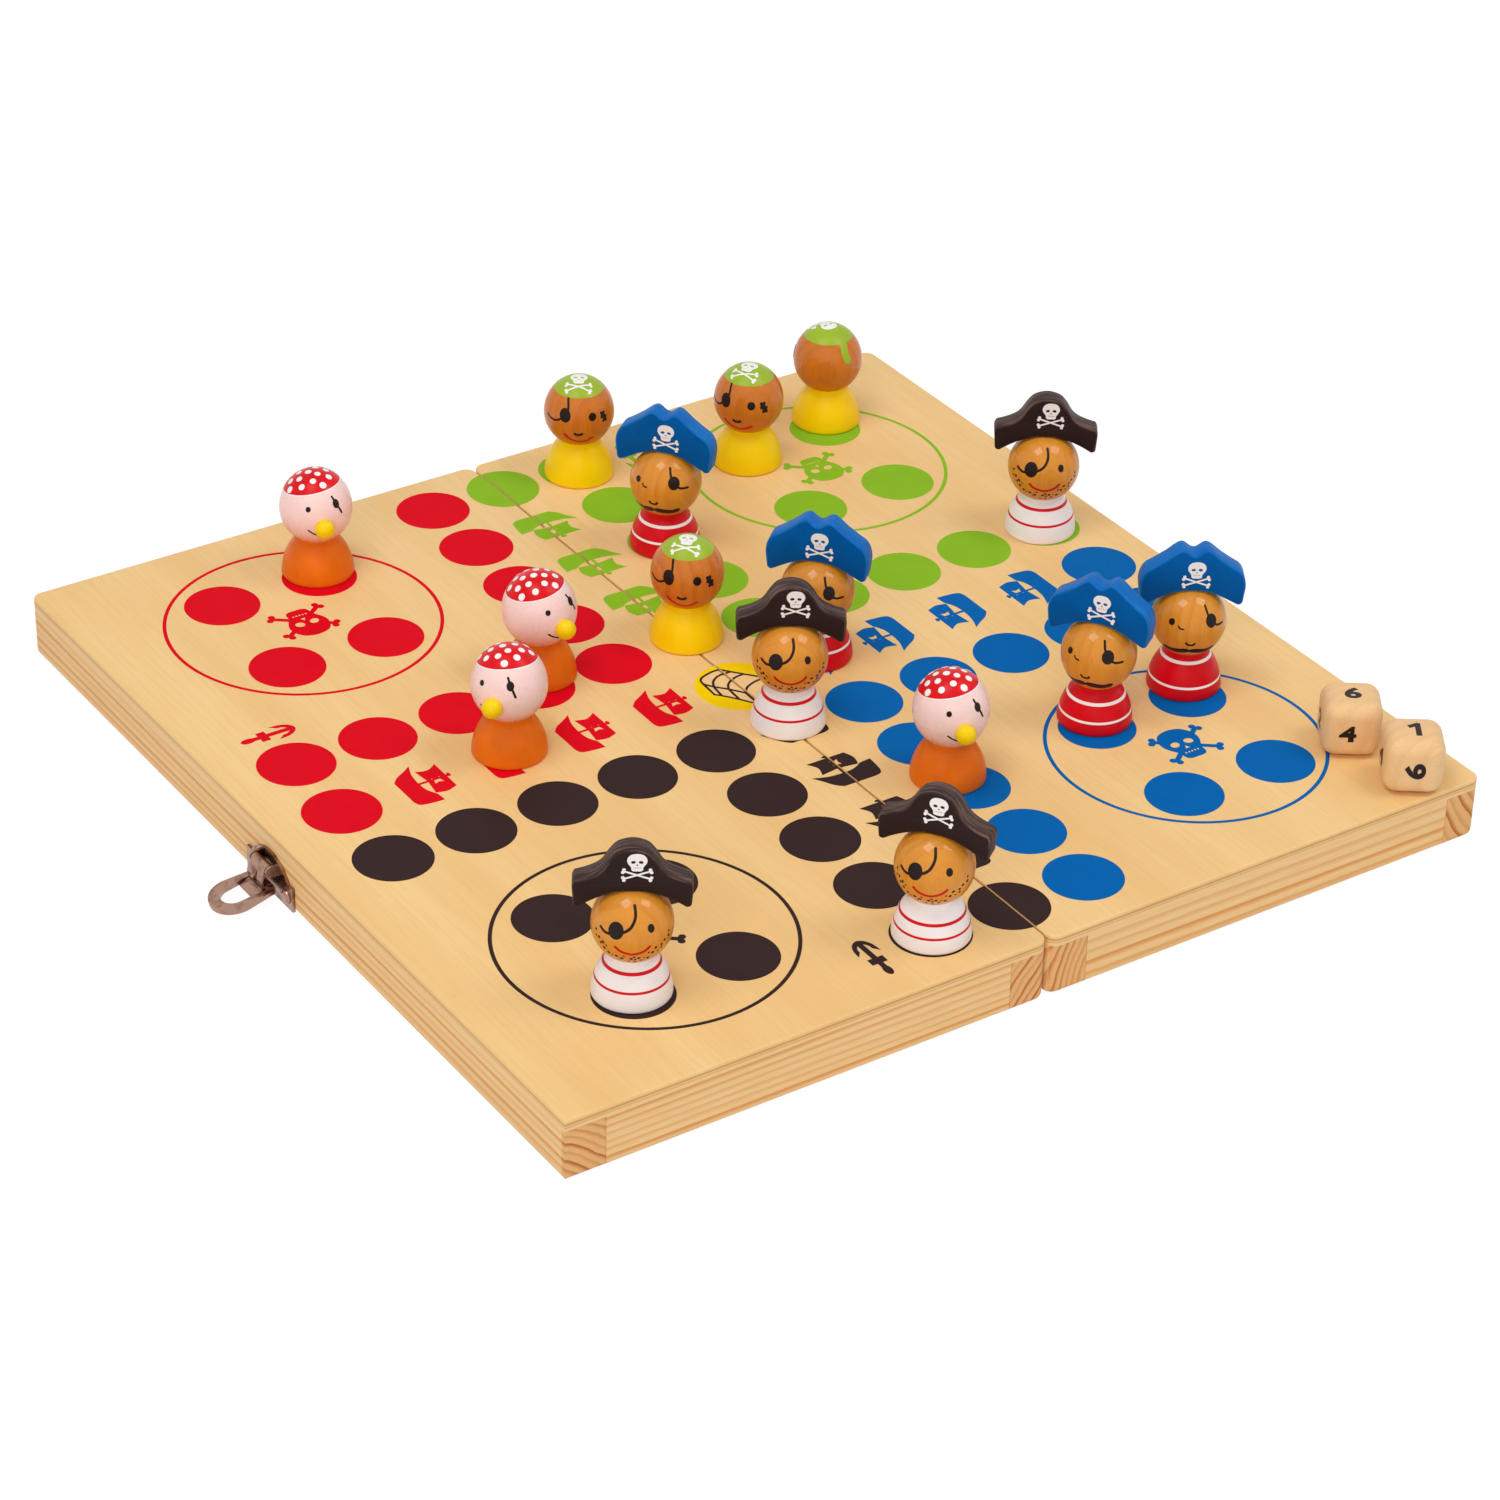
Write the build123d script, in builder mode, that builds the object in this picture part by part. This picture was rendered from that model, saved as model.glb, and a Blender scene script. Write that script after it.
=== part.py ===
from build123d import *
import os
from math import cos, radians, sin, sqrt

# A folding ludo board box, opened flat for play, with its pawns and dice on the board.
# Two shallow trays of pine rails under plywood panels are hinged along the seam.
# Millimetres, +Z up. The origin is on the fold axis, midway along the seam, at the rims
# that the open box stands on. The front half lies at -Y and carries the clasp.

os.makedirs("parts", exist_ok=True)

# ---------------------------------------------------------------- driving dimensions
# wooden trays
board_side = 270.0          # the open board is square
seam_gap = 0.6              # saw gap between the halves
panel_thickness = 3.0
rail_height = 14.0
rail_width = 11.0
corner_radius = 3.0         # upright corners of each half
rim_round = 1.6             # outside lower edges of the rails
panel_edge_round = 0.5      # top edge of the plywood

# butt hinges, leaves let into the rims
hinge_spacing = 160.0       # between the middles of the two hinges
hinge_length = 22.0
leaf_width = 8.5            # from the fold axis to the leaf's free edge
leaf_thickness = 0.8
leaf_corner_radius = 1.2
knuckle_count = 5
knuckle_radius = 1.25
knuckle_gap = 0.2           # between neighbouring knuckles
hinge_pin_radius = 0.6
hinge_pin_head_radius = 0.9
hinge_pin_head_length = 0.5
hinge_screw_spacing = 13.0
hinge_screw_row = 5.2       # from the fold axis
hinge_screw_radius = 0.8
hinge_screw_head_radius = 1.6
hinge_screw_length = 7.0

# clasp: plate, lever and loop on the front rail, catch plate on the rear rail
latch_station = -2.0        # along X
latch_plate_width = 23.3
latch_plate_foot = 0.2      # its lower edge, above the rim plane
latch_shoulder_height = 7.0
latch_shoulder_width = 2.4
latch_plate_top = 11.8
latch_sheet = 0.8
lever_sheet = 0.7
lever_width = 7.0
lever_bulge = 4.8           # how far the lever stands out from the rail
lever_bulge_height = 5.9
lever_ridge = 1.1           # stands proud of the bulge along the lever's middle
lever_ridge_width = 1.4
lever_tab_reach = 2.6
lever_pivot_height = 8.6
lever_pivot_reach = 2.6     # from the rail's face
lever_pin_radius = 0.7
loop_pivot_height = 3.2
loop_pivot_reach = 3.0
loop_bar_radius = 0.9
loop_thickness = 1.2
loop_length = 14.2          # from its pivot to its tip
loop_tip_radius = 6.5
loop_end_radius = 1.5
loop_end_spread = 4.0
loop_eye_radius = 3.5
loop_tilt = 9.5             # degrees below level, so that the tip rests near the table
lug_thickness = 0.8
lug_radius = 1.5
side_play = 0.3             # beside the lever and the loop's arms
hook_width = 4.0
hook_height = 5.9           # near side of the hook, from the rim plane
hook_reach = 4.9
hook_lip = 3.6
nail_spacing = 17.2
nail_height = 3.2
nail_radius = 0.7
nail_head_radius = 1.9
nail_head_height = 0.8
nail_head_round = 0.7
nail_length = 8.0

# fits
running_clearance = 0.04    # radial, pins and bars in their curls
recess_clearance = 0.15     # round what is let into the wood
pilot_clearance = 0.05      # radial, screws and nails in the wood

# pawns and dice
field_pitch = (board_side - 36.4) / 10  # rows of fields, set in from the board's edges
foot_radius = 9.7
foot_round = 0.8
waist_radius = 8.7          # halfway up the foot
waist_height = 6.4
neck_radius = 6.6
neck_height = 12.0
neck_round = 0.8
head_radius = 9.7
head_height = 19.7          # middle of the ball, above the board
hat_seat = 0.2              # depth of the flat planed on the ball
domed_hat_thickness = 7.0
notched_hat_thickness = 8.0
hat_corner_round = 0.8
hat_bevel = 0.5
nose_radius = 2.65
nose_seat = 0.4             # depth of the flat for the bead
nose_sink = 1.45            # how far the bead's middle is short of its radius
nose_drop = 6.0             # degrees below level
die_edge = 15.8
die_round = 3.4
view_bearing = 55.6         # most pawns look this way, degrees from -Y towards +X

# ---------------------------------------------------------------- worked out
half_side = board_side / 2
seam_face = seam_gap / 2
board_top = rail_height + panel_thickness
side_rail_length = half_side - seam_face - 2 * rail_width
knuckle_pitch = hinge_length / knuckle_count
knuckle_length = knuckle_pitch - knuckle_gap
knuckle_relief = knuckle_radius + recess_clearance
hinge_recess_length = hinge_length + 2 * (hinge_pin_head_length + recess_clearance)
screw_head_height = hinge_screw_head_radius - hinge_screw_radius
head_top = head_height + head_radius - hat_seat
hat_flat_radius = sqrt(head_radius**2 - (head_radius - hat_seat) ** 2)
FRONT, REAR = -1, 1
halves = {"front": FRONT, "rear": REAR}
hinges = {"left": -hinge_spacing / 2, "right": hinge_spacing / 2}
CENTRE, LOW, HIGH = Align.CENTER, Align.MIN, Align.MAX
tiny = 1e-4


def away(side):
    """Box alignment that grows away from the seam on the given half."""
    return LOW if side == REAR else HIGH


def save(piece, node):
    """Label one finished piece and write its STEP file."""
    piece.part.label = node
    export_step(piece.part, f"parts/{node}.step")


def hinge_screw_points(side):
    """Screw places of one half, on the rim plane."""
    return [
        (station + along * hinge_screw_spacing / 2, side * hinge_screw_row, 0)
        for station in hinges.values()
        for along in (-1, 1)
    ]


def nail_points():
    """Nail places in a clasp plate's own plane."""
    return [(along * nail_spacing / 2, nail_height) for along in (-1, 1)]


def clasp_plane(side):
    """Plane on a half's outer face: local x along the rail, local y up, normal outwards."""
    return Plane(origin=(latch_station, side * half_side, 0), x_dir=(-side, 0, 0), z_dir=(0, side, 0))


# Side view of the clasp: local x outwards from the front rail, local y up.
clasp_profile = Plane(origin=(latch_station, -half_side, 0), x_dir=(0, -1, 0), z_dir=(-1, 0, 0))


# ---------------------------------------------------------------- plywood panels
for half, side in halves.items():
    with BuildPart() as panel:
        with BuildSketch(Plane.XY.offset(rail_height)) as outline:
            with Locations((0, side * (half_side + seam_face) / 2)):
                Rectangle(board_side, half_side - seam_face)
            fillet(outline.vertices(), corner_radius)
        extrude(amount=panel_thickness)
        fillet(panel.faces().sort_by(Axis.Z)[-1].edges(), panel_edge_round)
    save(panel, f"{half}_top_panel")


# ---------------------------------------------------------------- pine rails
def long_rail(side, outside):
    """Rail that runs the whole width of the board, rounded on its outside face and ends."""
    inwards = -side if abs(outside) > seam_gap else side
    with BuildPart() as rail:
        with BuildSketch() as outline:
            with Locations((0, outside + inwards * rail_width / 2)):
                Rectangle(board_side, rail_width)
            corners = outline.vertices().filter_by(lambda v: abs(v.Y - outside) < tiny)
            fillet(corners, corner_radius)
        extrude(amount=rail_height)
        inside = outside + inwards * rail_width
        foot = rail.faces().sort_by(Axis.Z)[0].edges()
        fillet(foot.filter_by(lambda e: abs(e.center().Y - inside) > tiny), rim_round)
    return rail.part


for half, side in halves.items():
    with BuildPart() as outer_rail:
        add(long_rail(side, side * half_side))
        with Locations(clasp_plane(side)):
            with Locations(*nail_points()):
                Cylinder(
                    nail_radius + pilot_clearance, nail_length + pilot_clearance,
                    align=(CENTRE, CENTRE, HIGH), mode=Mode.SUBTRACT,
                )
    save(outer_rail, f"{half}_outer_rail")

    with BuildPart() as seam_rail:
        add(long_rail(side, side * seam_face))
        with Locations(*[(station, 0, 0) for station in hinges.values()]):
            Box(
                hinge_recess_length, leaf_width + recess_clearance, leaf_thickness,
                align=(CENTRE, away(side), LOW), mode=Mode.SUBTRACT,
            )
            Cylinder(knuckle_relief, hinge_recess_length, rotation=(0, 90, 0), mode=Mode.SUBTRACT)
        with Locations(*hinge_screw_points(side)):
            Cylinder(
                hinge_screw_radius + pilot_clearance, hinge_screw_length + pilot_clearance,
                align=(CENTRE, CENTRE, LOW), mode=Mode.SUBTRACT,
            )
    save(seam_rail, f"{half}_seam_rail")

    for hand, end in {"left": -1, "right": 1}.items():
        with BuildPart() as side_rail:
            with Locations((end * half_side, side * (seam_face + rail_width), 0)):
                Box(
                    rail_width, side_rail_length, rail_height,
                    align=(HIGH if end > 0 else LOW, away(side), LOW),
                )
            outside_edges = side_rail.edges().filter_by(Axis.Y).sort_by(Axis.X)
            outer_pair = outside_edges[-2:] if end > 0 else outside_edges[:2]
            fillet(outer_pair.sort_by(Axis.Z)[0], rim_round)
        save(side_rail, f"{half}_{hand}_rail")


# ---------------------------------------------------------------- hinges
# The pin is driven tight into the front leaf's knuckles and turns in the rear leaf's.
for hand, station in hinges.items():
    for half, side in halves.items():
        with BuildPart() as leaf:
            with BuildSketch() as plate:
                with Locations((station, side * knuckle_relief)):
                    Rectangle(hinge_length, leaf_width - knuckle_relief, align=(CENTRE, away(side)))
                free_corners = plate.vertices().sort_by(Axis.Y)
                fillet(free_corners[:2] if side == FRONT else free_corners[-2:], leaf_corner_radius)
            extrude(amount=leaf_thickness)
            first = 0 if side == FRONT else 1
            for slot in range(first, knuckle_count, 2):
                middle = station - hinge_length / 2 + (slot + 0.5) * knuckle_pitch
                with Locations((middle, 0, 0)):
                    Cylinder(knuckle_radius, knuckle_length, rotation=(0, 90, 0))
                    Box(knuckle_length, knuckle_relief, leaf_thickness, align=(CENTRE, away(side), LOW))
            bore = hinge_pin_radius if side == FRONT else hinge_pin_radius + running_clearance
            with Locations((station, 0, 0)):
                Cylinder(bore, hinge_length, rotation=(0, 90, 0), mode=Mode.SUBTRACT)
            screw_rows = [p for p in hinge_screw_points(side) if abs(p[0] - station) < hinge_length / 2]
            with Locations(*screw_rows):
                Cone(
                    hinge_screw_head_radius, hinge_screw_radius, screw_head_height,
                    align=(CENTRE, CENTRE, LOW), mode=Mode.SUBTRACT,
                )
                Cylinder(
                    hinge_screw_radius, leaf_thickness,
                    align=(CENTRE, CENTRE, LOW), mode=Mode.SUBTRACT,
                )
        save(leaf, f"{hand}_hinge_{half}_leaf")

    with BuildPart() as hinge_pin:
        with Locations((station, 0, 0)):
            Cylinder(hinge_pin_radius, hinge_length, rotation=(0, 90, 0))
        for end in (-1, 1):
            with Locations((station + end * (hinge_length + hinge_pin_head_length) / 2, 0, 0)):
                Cylinder(hinge_pin_head_radius, hinge_pin_head_length, rotation=(0, 90, 0))
    save(hinge_pin, f"{hand}_hinge_pin")

for half, side in halves.items():
    with BuildPart() as hinge_screws:
        with Locations(*hinge_screw_points(side)):
            Cone(
                hinge_screw_head_radius, hinge_screw_radius, screw_head_height,
                align=(CENTRE, CENTRE, LOW),
            )
            Cylinder(hinge_screw_radius, hinge_screw_length, align=(CENTRE, CENTRE, LOW))
    save(hinge_screws, f"hinge_screws_{half}")


# ---------------------------------------------------------------- clasp
lever_pivot = (lever_pivot_reach, lever_pivot_height)
loop_pivot = (loop_pivot_reach, loop_pivot_height)
lug_station = lever_width / 2 + side_play + lug_thickness / 2
lever_curl_radius = lever_pin_radius + running_clearance + lever_sheet
loop_curl_radius = loop_bar_radius + running_clearance + lever_sheet


def clasp_plate(side):
    """Arched sheet with a square shoulder and a nail hole at each side."""
    side_x = latch_plate_width / 2
    arch_x = side_x - latch_shoulder_width
    with BuildPart() as plate:
        with BuildSketch(clasp_plane(side)):
            with BuildLine():
                Polyline(
                    (arch_x, latch_shoulder_height), (side_x, latch_shoulder_height),
                    (side_x, latch_plate_foot), (-side_x, latch_plate_foot),
                    (-side_x, latch_shoulder_height), (-arch_x, latch_shoulder_height),
                )
                ThreePointArc(
                    (-arch_x, latch_shoulder_height), (0, latch_plate_top), (arch_x, latch_shoulder_height)
                )
            make_face()
            with Locations(*nail_points()):
                Circle(nail_radius, mode=Mode.SUBTRACT)
        extrude(amount=latch_sheet)
    return plate.part


with BuildPart() as latch_base_plate:
    add(clasp_plate(FRONT))
    for end in (-1, 1):
        with BuildSketch(clasp_profile.offset(end * lug_station)):
            with Locations(lever_pivot):
                Circle(lug_radius)
            with Locations((latch_sheet, lever_pivot_height)):
                Rectangle(lever_pivot_reach - latch_sheet, 2 * lug_radius, align=(LOW, CENTRE))
            with Locations(lever_pivot):
                Circle(lever_pin_radius, mode=Mode.SUBTRACT)
        extrude(amount=lug_thickness / 2, both=True)
save(latch_base_plate, "latch_base_plate")

with BuildPart() as latch_lever:
    with BuildSketch(clasp_profile):
        with BuildLine() as spine:
            FilletPolyline(
                (lever_pivot_reach + lever_curl_radius - lever_sheet / 2, lever_pivot_height),
                (lever_bulge, lever_bulge_height),
                (loop_pivot_reach + loop_curl_radius - lever_sheet / 2, loop_pivot_height),
                (lever_bulge + lever_tab_reach, loop_pivot_height - lever_tab_reach / 2),
                radius=lever_sheet,
            )
        trace(line_width=lever_sheet)
        with Locations(lever_pivot):
            Circle(lever_curl_radius)
            Circle(lever_pin_radius + running_clearance, mode=Mode.SUBTRACT)
        with Locations(loop_pivot):
            Circle(loop_curl_radius)
            Circle(loop_bar_radius + running_clearance, mode=Mode.SUBTRACT)
    extrude(amount=lever_width / 2, both=True)
    with BuildSketch(clasp_profile):
        with BuildLine():
            Polyline(
                (lever_bulge, lever_bulge_height),
                (lever_pivot_reach + lever_curl_radius - lever_sheet / 2, lever_pivot_height),
                (lever_bulge + lever_ridge, lever_bulge_height),
                (loop_pivot_reach + loop_curl_radius - lever_sheet / 2, loop_pivot_height),
                close=True,
            )
        make_face()
    extrude(amount=lever_ridge_width / 2, both=True)
save(latch_lever, "latch_lever")

with BuildPart() as latch_lever_pin:
    with BuildSketch(clasp_profile):
        with Locations(lever_pivot):
            Circle(lever_pin_radius)
    extrude(amount=lug_station + lug_thickness / 2, both=True)
save(latch_lever_pin, "latch_lever_pin")

# The loop is a flat stamped ring whose two arms end in a bar that turns in the lever's lower curl.
loop_plane = Plane(
    origin=(latch_station, -half_side - loop_pivot_reach, loop_pivot_height),
    x_dir=(1, 0, 0),
    z_dir=(0, sin(radians(loop_tilt)), -cos(radians(loop_tilt))),
)
arm_inside = lever_width / 2 + side_play
with BuildPart() as latch_loop:
    with BuildSketch(loop_plane) as ring:
        with Locations((0, loop_length - loop_tip_radius)):
            Circle(loop_tip_radius)
        with Locations((-loop_end_spread, 0), (loop_end_spread, 0)):
            Circle(loop_end_radius)
        make_hull()
        with BuildSketch(mode=Mode.SUBTRACT):
            with Locations((0, loop_length - loop_tip_radius)):
                Circle(loop_eye_radius)
            with Locations((0, loop_curl_radius)):
                Rectangle(2 * arm_inside, tiny)
            make_hull()
        with Locations((0, -loop_end_radius)):
            Rectangle(
                2 * arm_inside, loop_end_radius + loop_curl_radius,
                align=(CENTRE, LOW), mode=Mode.SUBTRACT,
            )
    extrude(amount=loop_thickness / 2, both=True)
    with Locations(Plane(loop_plane.origin, x_dir=(0, 1, 0), z_dir=(1, 0, 0))):
        Cylinder(loop_bar_radius, 2 * loop_end_spread)
save(latch_loop, "latch_loop")

with BuildPart() as catch_plate:
    add(clasp_plate(REAR))
    hook_profile = Plane(origin=(latch_station, half_side, 0), x_dir=(0, 1, 0), z_dir=(1, 0, 0))
    with BuildSketch(hook_profile):
        with BuildLine():
            FilletPolyline(
                (latch_sheet / 2, hook_height + latch_sheet / 2),
                (hook_reach - latch_sheet / 2, hook_height + latch_sheet / 2),
                (hook_reach - latch_sheet / 2, hook_height + hook_lip),
                radius=latch_sheet,
            )
        trace(line_width=latch_sheet)
    extrude(amount=hook_width / 2, both=True)
save(catch_plate, "catch_plate")

for node, side in {"latch_nails": FRONT, "catch_nails": REAR}.items():
    with BuildPart() as nails:
        with Locations(clasp_plane(side).offset(latch_sheet)):
            with Locations(*nail_points()):
                Cylinder(nail_head_radius, nail_head_height, align=(CENTRE, CENTRE, LOW))
                Cylinder(nail_radius, nail_length + latch_sheet, align=(CENTRE, CENTRE, HIGH))
        crown = half_side + latch_sheet + nail_head_height
        rims = nails.edges().filter_by(GeomType.CIRCLE)
        fillet(rims.filter_by(lambda e: abs(e.center().Y - side * crown) < tiny), nail_head_round)
    save(nails, node)


# ---------------------------------------------------------------- pawns
def bearing(turn):
    """Level direction that a pawn looks in, turned from the common bearing by some degrees."""
    angle = radians(view_bearing + turn)
    return Vector(sin(angle), -cos(angle), 0)


def place(column, row, height=0.0):
    """Point above the board, counted in fields from its middle."""
    return Vector(column * field_pitch, row * field_pitch, board_top + height)


def turned_peg(spot):
    """Foot and ball of a pawn, turned from one piece of wood."""
    ball_seat = sqrt(head_radius**2 - (head_height - neck_height) ** 2)
    with BuildPart() as peg:
        with BuildSketch(Plane(origin=spot, x_dir=(1, 0, 0), z_dir=(0, -1, 0))):
            with BuildLine():
                Line((0, 0), (foot_radius, 0))
                ThreePointArc((foot_radius, 0), (waist_radius, waist_height), (neck_radius, neck_height))
                Line((neck_radius, neck_height), (ball_seat, neck_height))
                ThreePointArc(
                    (ball_seat, neck_height), (head_radius, head_height), (0, head_height + head_radius)
                )
                Line((0, head_height + head_radius), (0, 0))
            make_face()
        revolve(axis=Axis(spot, (0, 0, 1)))
        rims = peg.edges().filter_by(GeomType.CIRCLE)
        fillet(rims.filter_by(lambda e: abs(e.center().Z - spot.Z) < tiny), foot_round)
        neck = peg.edges().filter_by(GeomType.CIRCLE).filter_by(lambda e: abs(e.radius - neck_radius) < tiny)
        fillet(neck, neck_round)
    return peg.part


def nose_plane(spot, turn):
    """Flat on the ball that the nose bead is glued to, facing forwards and a little down."""
    forwards = bearing(turn) * cos(radians(nose_drop)) + Vector(0, 0, -sin(radians(nose_drop)))
    middle = spot + Vector(0, 0, head_height)
    return Plane(origin=middle + forwards * (head_radius - nose_seat), z_dir=forwards)


def hat_plane(spot, turn):
    """Upright plane across a hat, local y up from the flat planed on the ball."""
    forwards = bearing(turn)
    return Plane(
        origin=spot + Vector(0, 0, head_top),
        x_dir=(-forwards.Y, forwards.X, 0),
        z_dir=(forwards.X, forwards.Y, 0),
    )


def domed_hat_half():
    """Right half of the black hat: round crown, drawn out to low square wings."""
    seat, wing_low, wing_tip = (hat_flat_radius, 0), (12.4, -4.1), (13.6, -3.8)
    wing_side, wing_top, crown = (14.0, 1.8), (13.4, 3.1), (0, 12.1)
    Line((0, 0), seat)
    Spline(seat, wing_low, tangents=[(1, -0.08), (1, -0.75)])
    Line(wing_low, wing_tip)
    Line(wing_tip, wing_side)
    Line(wing_side, wing_top)
    Spline(wing_top, (9.2, 4.8), (5.9, 9.0), crown, tangents=[(-1, 0.2), (-1, 0)])


def notched_hat_half():
    """Right half of the blue hat: full sides and a notch in the top."""
    seat, wing_low, wing_tip = (hat_flat_radius, 0), (12.0, -4.1), (13.1, -3.6)
    wing_side, shoulder, peak, notch = (13.6, 1.0), (11.6, 5.8), (3.3, 12.0), (0, 10.1)
    Line((0, 0), seat)
    Spline(seat, wing_low, tangents=[(1, -0.08), (1, -0.5)])
    Line(wing_low, wing_tip)
    Line(wing_tip, wing_side)
    ThreePointArc(wing_side, (13.1, 3.9), shoulder)
    Spline(shoulder, (7.4, 8.6), peak, notch, tangents=[(-1, 0.55), (-1, 0)])


def sawn_hat(spot, turn, half_outline, thickness):
    """Hat sawn from a board to the given half outline, with its sawn edges taken off."""
    with BuildPart() as hat:
        with BuildSketch(hat_plane(spot, turn)) as outline:
            with BuildLine():
                half_outline()
                mirror(about=Plane.YZ)
            make_face()
            fillet(outline.vertices().filter_by(lambda v: abs(v.X) > head_radius), hat_corner_round)
        extrude(amount=thickness / 2, both=True)
        forwards = bearing(turn)
        broad = hat.faces().filter_by(lambda f: abs(f.normal_at().dot(forwards)) > 1 - tiny)
        chamfer(broad.edges(), hat_bevel)
    return hat


# kind of pawn: column, row and turn of each of its four
stations = {
    "bird": [(-4.57, -2.74, 18), (-1.30, -1.76, 42), (-0.14, -2.84, -20), (2.74, 0.89, 19)],
    "bandana": [(-4.98, 1.02, 0), (-4.19, 2.90, -21), (-4.56, 4.29, -140), (-1.13, 0.06, -9)],
    "blue_hat": [(-3.03, 0.99, -17), (-0.07, 1.09, -14), (2.63, 2.94, -22), (2.57, 4.22, 2)],
    "black_hat": [(4.30, -4.09, 2), (5.05, -0.97, -20), (0.94, 0.04, 1), (-1.05, 4.93, -1)],
}
hat_styles = {
    "blue_hat": (notched_hat_half, notched_hat_thickness),
    "black_hat": (domed_hat_half, domed_hat_thickness),
}

for kind, spots in stations.items():
    for number, (column, row, turn) in enumerate(spots, start=1):
        spot = place(column, row)
        with BuildPart() as peg:
            add(turned_peg(spot))
            if kind in hat_styles:
                with Locations(spot + Vector(0, 0, head_top)):
                    Box(
                        2 * head_radius, 2 * head_radius, head_radius,
                        align=(CENTRE, CENTRE, LOW), mode=Mode.SUBTRACT,
                    )
            if kind == "bird":
                with Locations(nose_plane(spot, turn)):
                    Box(
                        2 * head_radius, 2 * head_radius, head_radius,
                        align=(CENTRE, CENTRE, LOW), mode=Mode.SUBTRACT,
                    )
        save(peg, f"{kind}_pawn_{number}_peg")

        if kind in hat_styles:
            hat = sawn_hat(spot, turn, *hat_styles[kind])
            save(hat, f"{kind}_pawn_{number}_hat")
        if kind == "bird":
            with BuildPart() as nose:
                flat = nose_plane(spot, turn)
                with Locations(flat.offset(nose_sink)):
                    Sphere(nose_radius)
                split(bisect_by=flat, keep=Keep.TOP)
            save(nose, f"bird_pawn_{number}_nose")


# ---------------------------------------------------------------- dice
for number, (column, row) in enumerate([(4.50, 4.97), (5.42, 5.06)], start=1):
    with BuildPart() as die:
        with Locations(Plane(origin=place(column, row), x_dir=bearing(0), z_dir=(0, 0, 1))):
            Box(die_edge, die_edge, die_edge, align=(CENTRE, CENTRE, LOW))
        fillet(die.edges(), die_round)
    save(die, f"die_{number}")
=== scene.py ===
"""Folding ludo board box, opened flat: printed board, painted pawns, dice and clasp.

Lengths are millimetres until they reach a mesh, and angles are degrees. Meshes are in metres,
in the row frame: the fold axis lies along X, the front half at -Y, the rims at height zero.
"""

import logging
from collections.abc import Callable, Sequence
from dataclasses import dataclass, field, replace
from enum import Enum
from math import asin, ceil, cos, degrees, hypot, pi, radians, sin, sqrt

import bmesh
import bpy
from mathutils import Matrix, Vector

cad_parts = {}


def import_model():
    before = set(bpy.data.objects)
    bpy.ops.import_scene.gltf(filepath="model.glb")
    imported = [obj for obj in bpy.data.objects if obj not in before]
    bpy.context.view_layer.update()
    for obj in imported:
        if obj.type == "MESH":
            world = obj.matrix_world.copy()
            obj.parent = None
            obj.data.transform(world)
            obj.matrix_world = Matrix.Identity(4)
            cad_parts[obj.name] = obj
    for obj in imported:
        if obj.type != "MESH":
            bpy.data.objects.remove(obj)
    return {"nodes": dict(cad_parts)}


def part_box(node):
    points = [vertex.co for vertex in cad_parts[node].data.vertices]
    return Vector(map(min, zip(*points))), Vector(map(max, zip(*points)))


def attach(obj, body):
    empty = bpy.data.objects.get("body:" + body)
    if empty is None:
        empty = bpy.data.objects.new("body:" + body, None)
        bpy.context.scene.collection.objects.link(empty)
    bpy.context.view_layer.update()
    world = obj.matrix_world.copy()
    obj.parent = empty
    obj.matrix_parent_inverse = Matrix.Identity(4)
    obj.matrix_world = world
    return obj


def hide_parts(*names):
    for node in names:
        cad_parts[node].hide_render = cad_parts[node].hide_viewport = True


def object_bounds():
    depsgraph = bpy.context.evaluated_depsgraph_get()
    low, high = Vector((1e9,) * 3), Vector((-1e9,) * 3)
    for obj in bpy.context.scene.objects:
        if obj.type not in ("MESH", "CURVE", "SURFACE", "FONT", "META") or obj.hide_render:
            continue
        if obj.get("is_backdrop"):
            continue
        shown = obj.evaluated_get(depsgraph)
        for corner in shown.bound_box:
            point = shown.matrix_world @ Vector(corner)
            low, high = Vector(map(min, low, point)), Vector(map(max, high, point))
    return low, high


log = logging.getLogger("ludo_box")

MM = 0.001
LAYER, LAYERS = 0.002, 14  # overlapping shapes of one stamp differ a little in height

Point = tuple[float, float]
Loop = list[Point]
Shape = list[Loop]
Colour = tuple[float, float, float, float]
Socket = bpy.types.NodeSocket
ShaderInputs = dict[str, float | Socket]


def paint(red: int, green: int, blue: int) -> Colour:
    """Linear colour of a display colour.

    Args:
        red: Red channel, 0 to 255.
        green: Green channel, 0 to 255.
        blue: Blue channel, 0 to 255.

    Returns:
        The colour as a node socket takes it.
    """
    shares = [channel / 255 for channel in (red, green, blue)]
    linear = [s / 12.92 if s <= 0.04045 else ((s + 0.055) / 1.055) ** 2.4 for s in shares]
    return (linear[0], linear[1], linear[2], 1.0)


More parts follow.
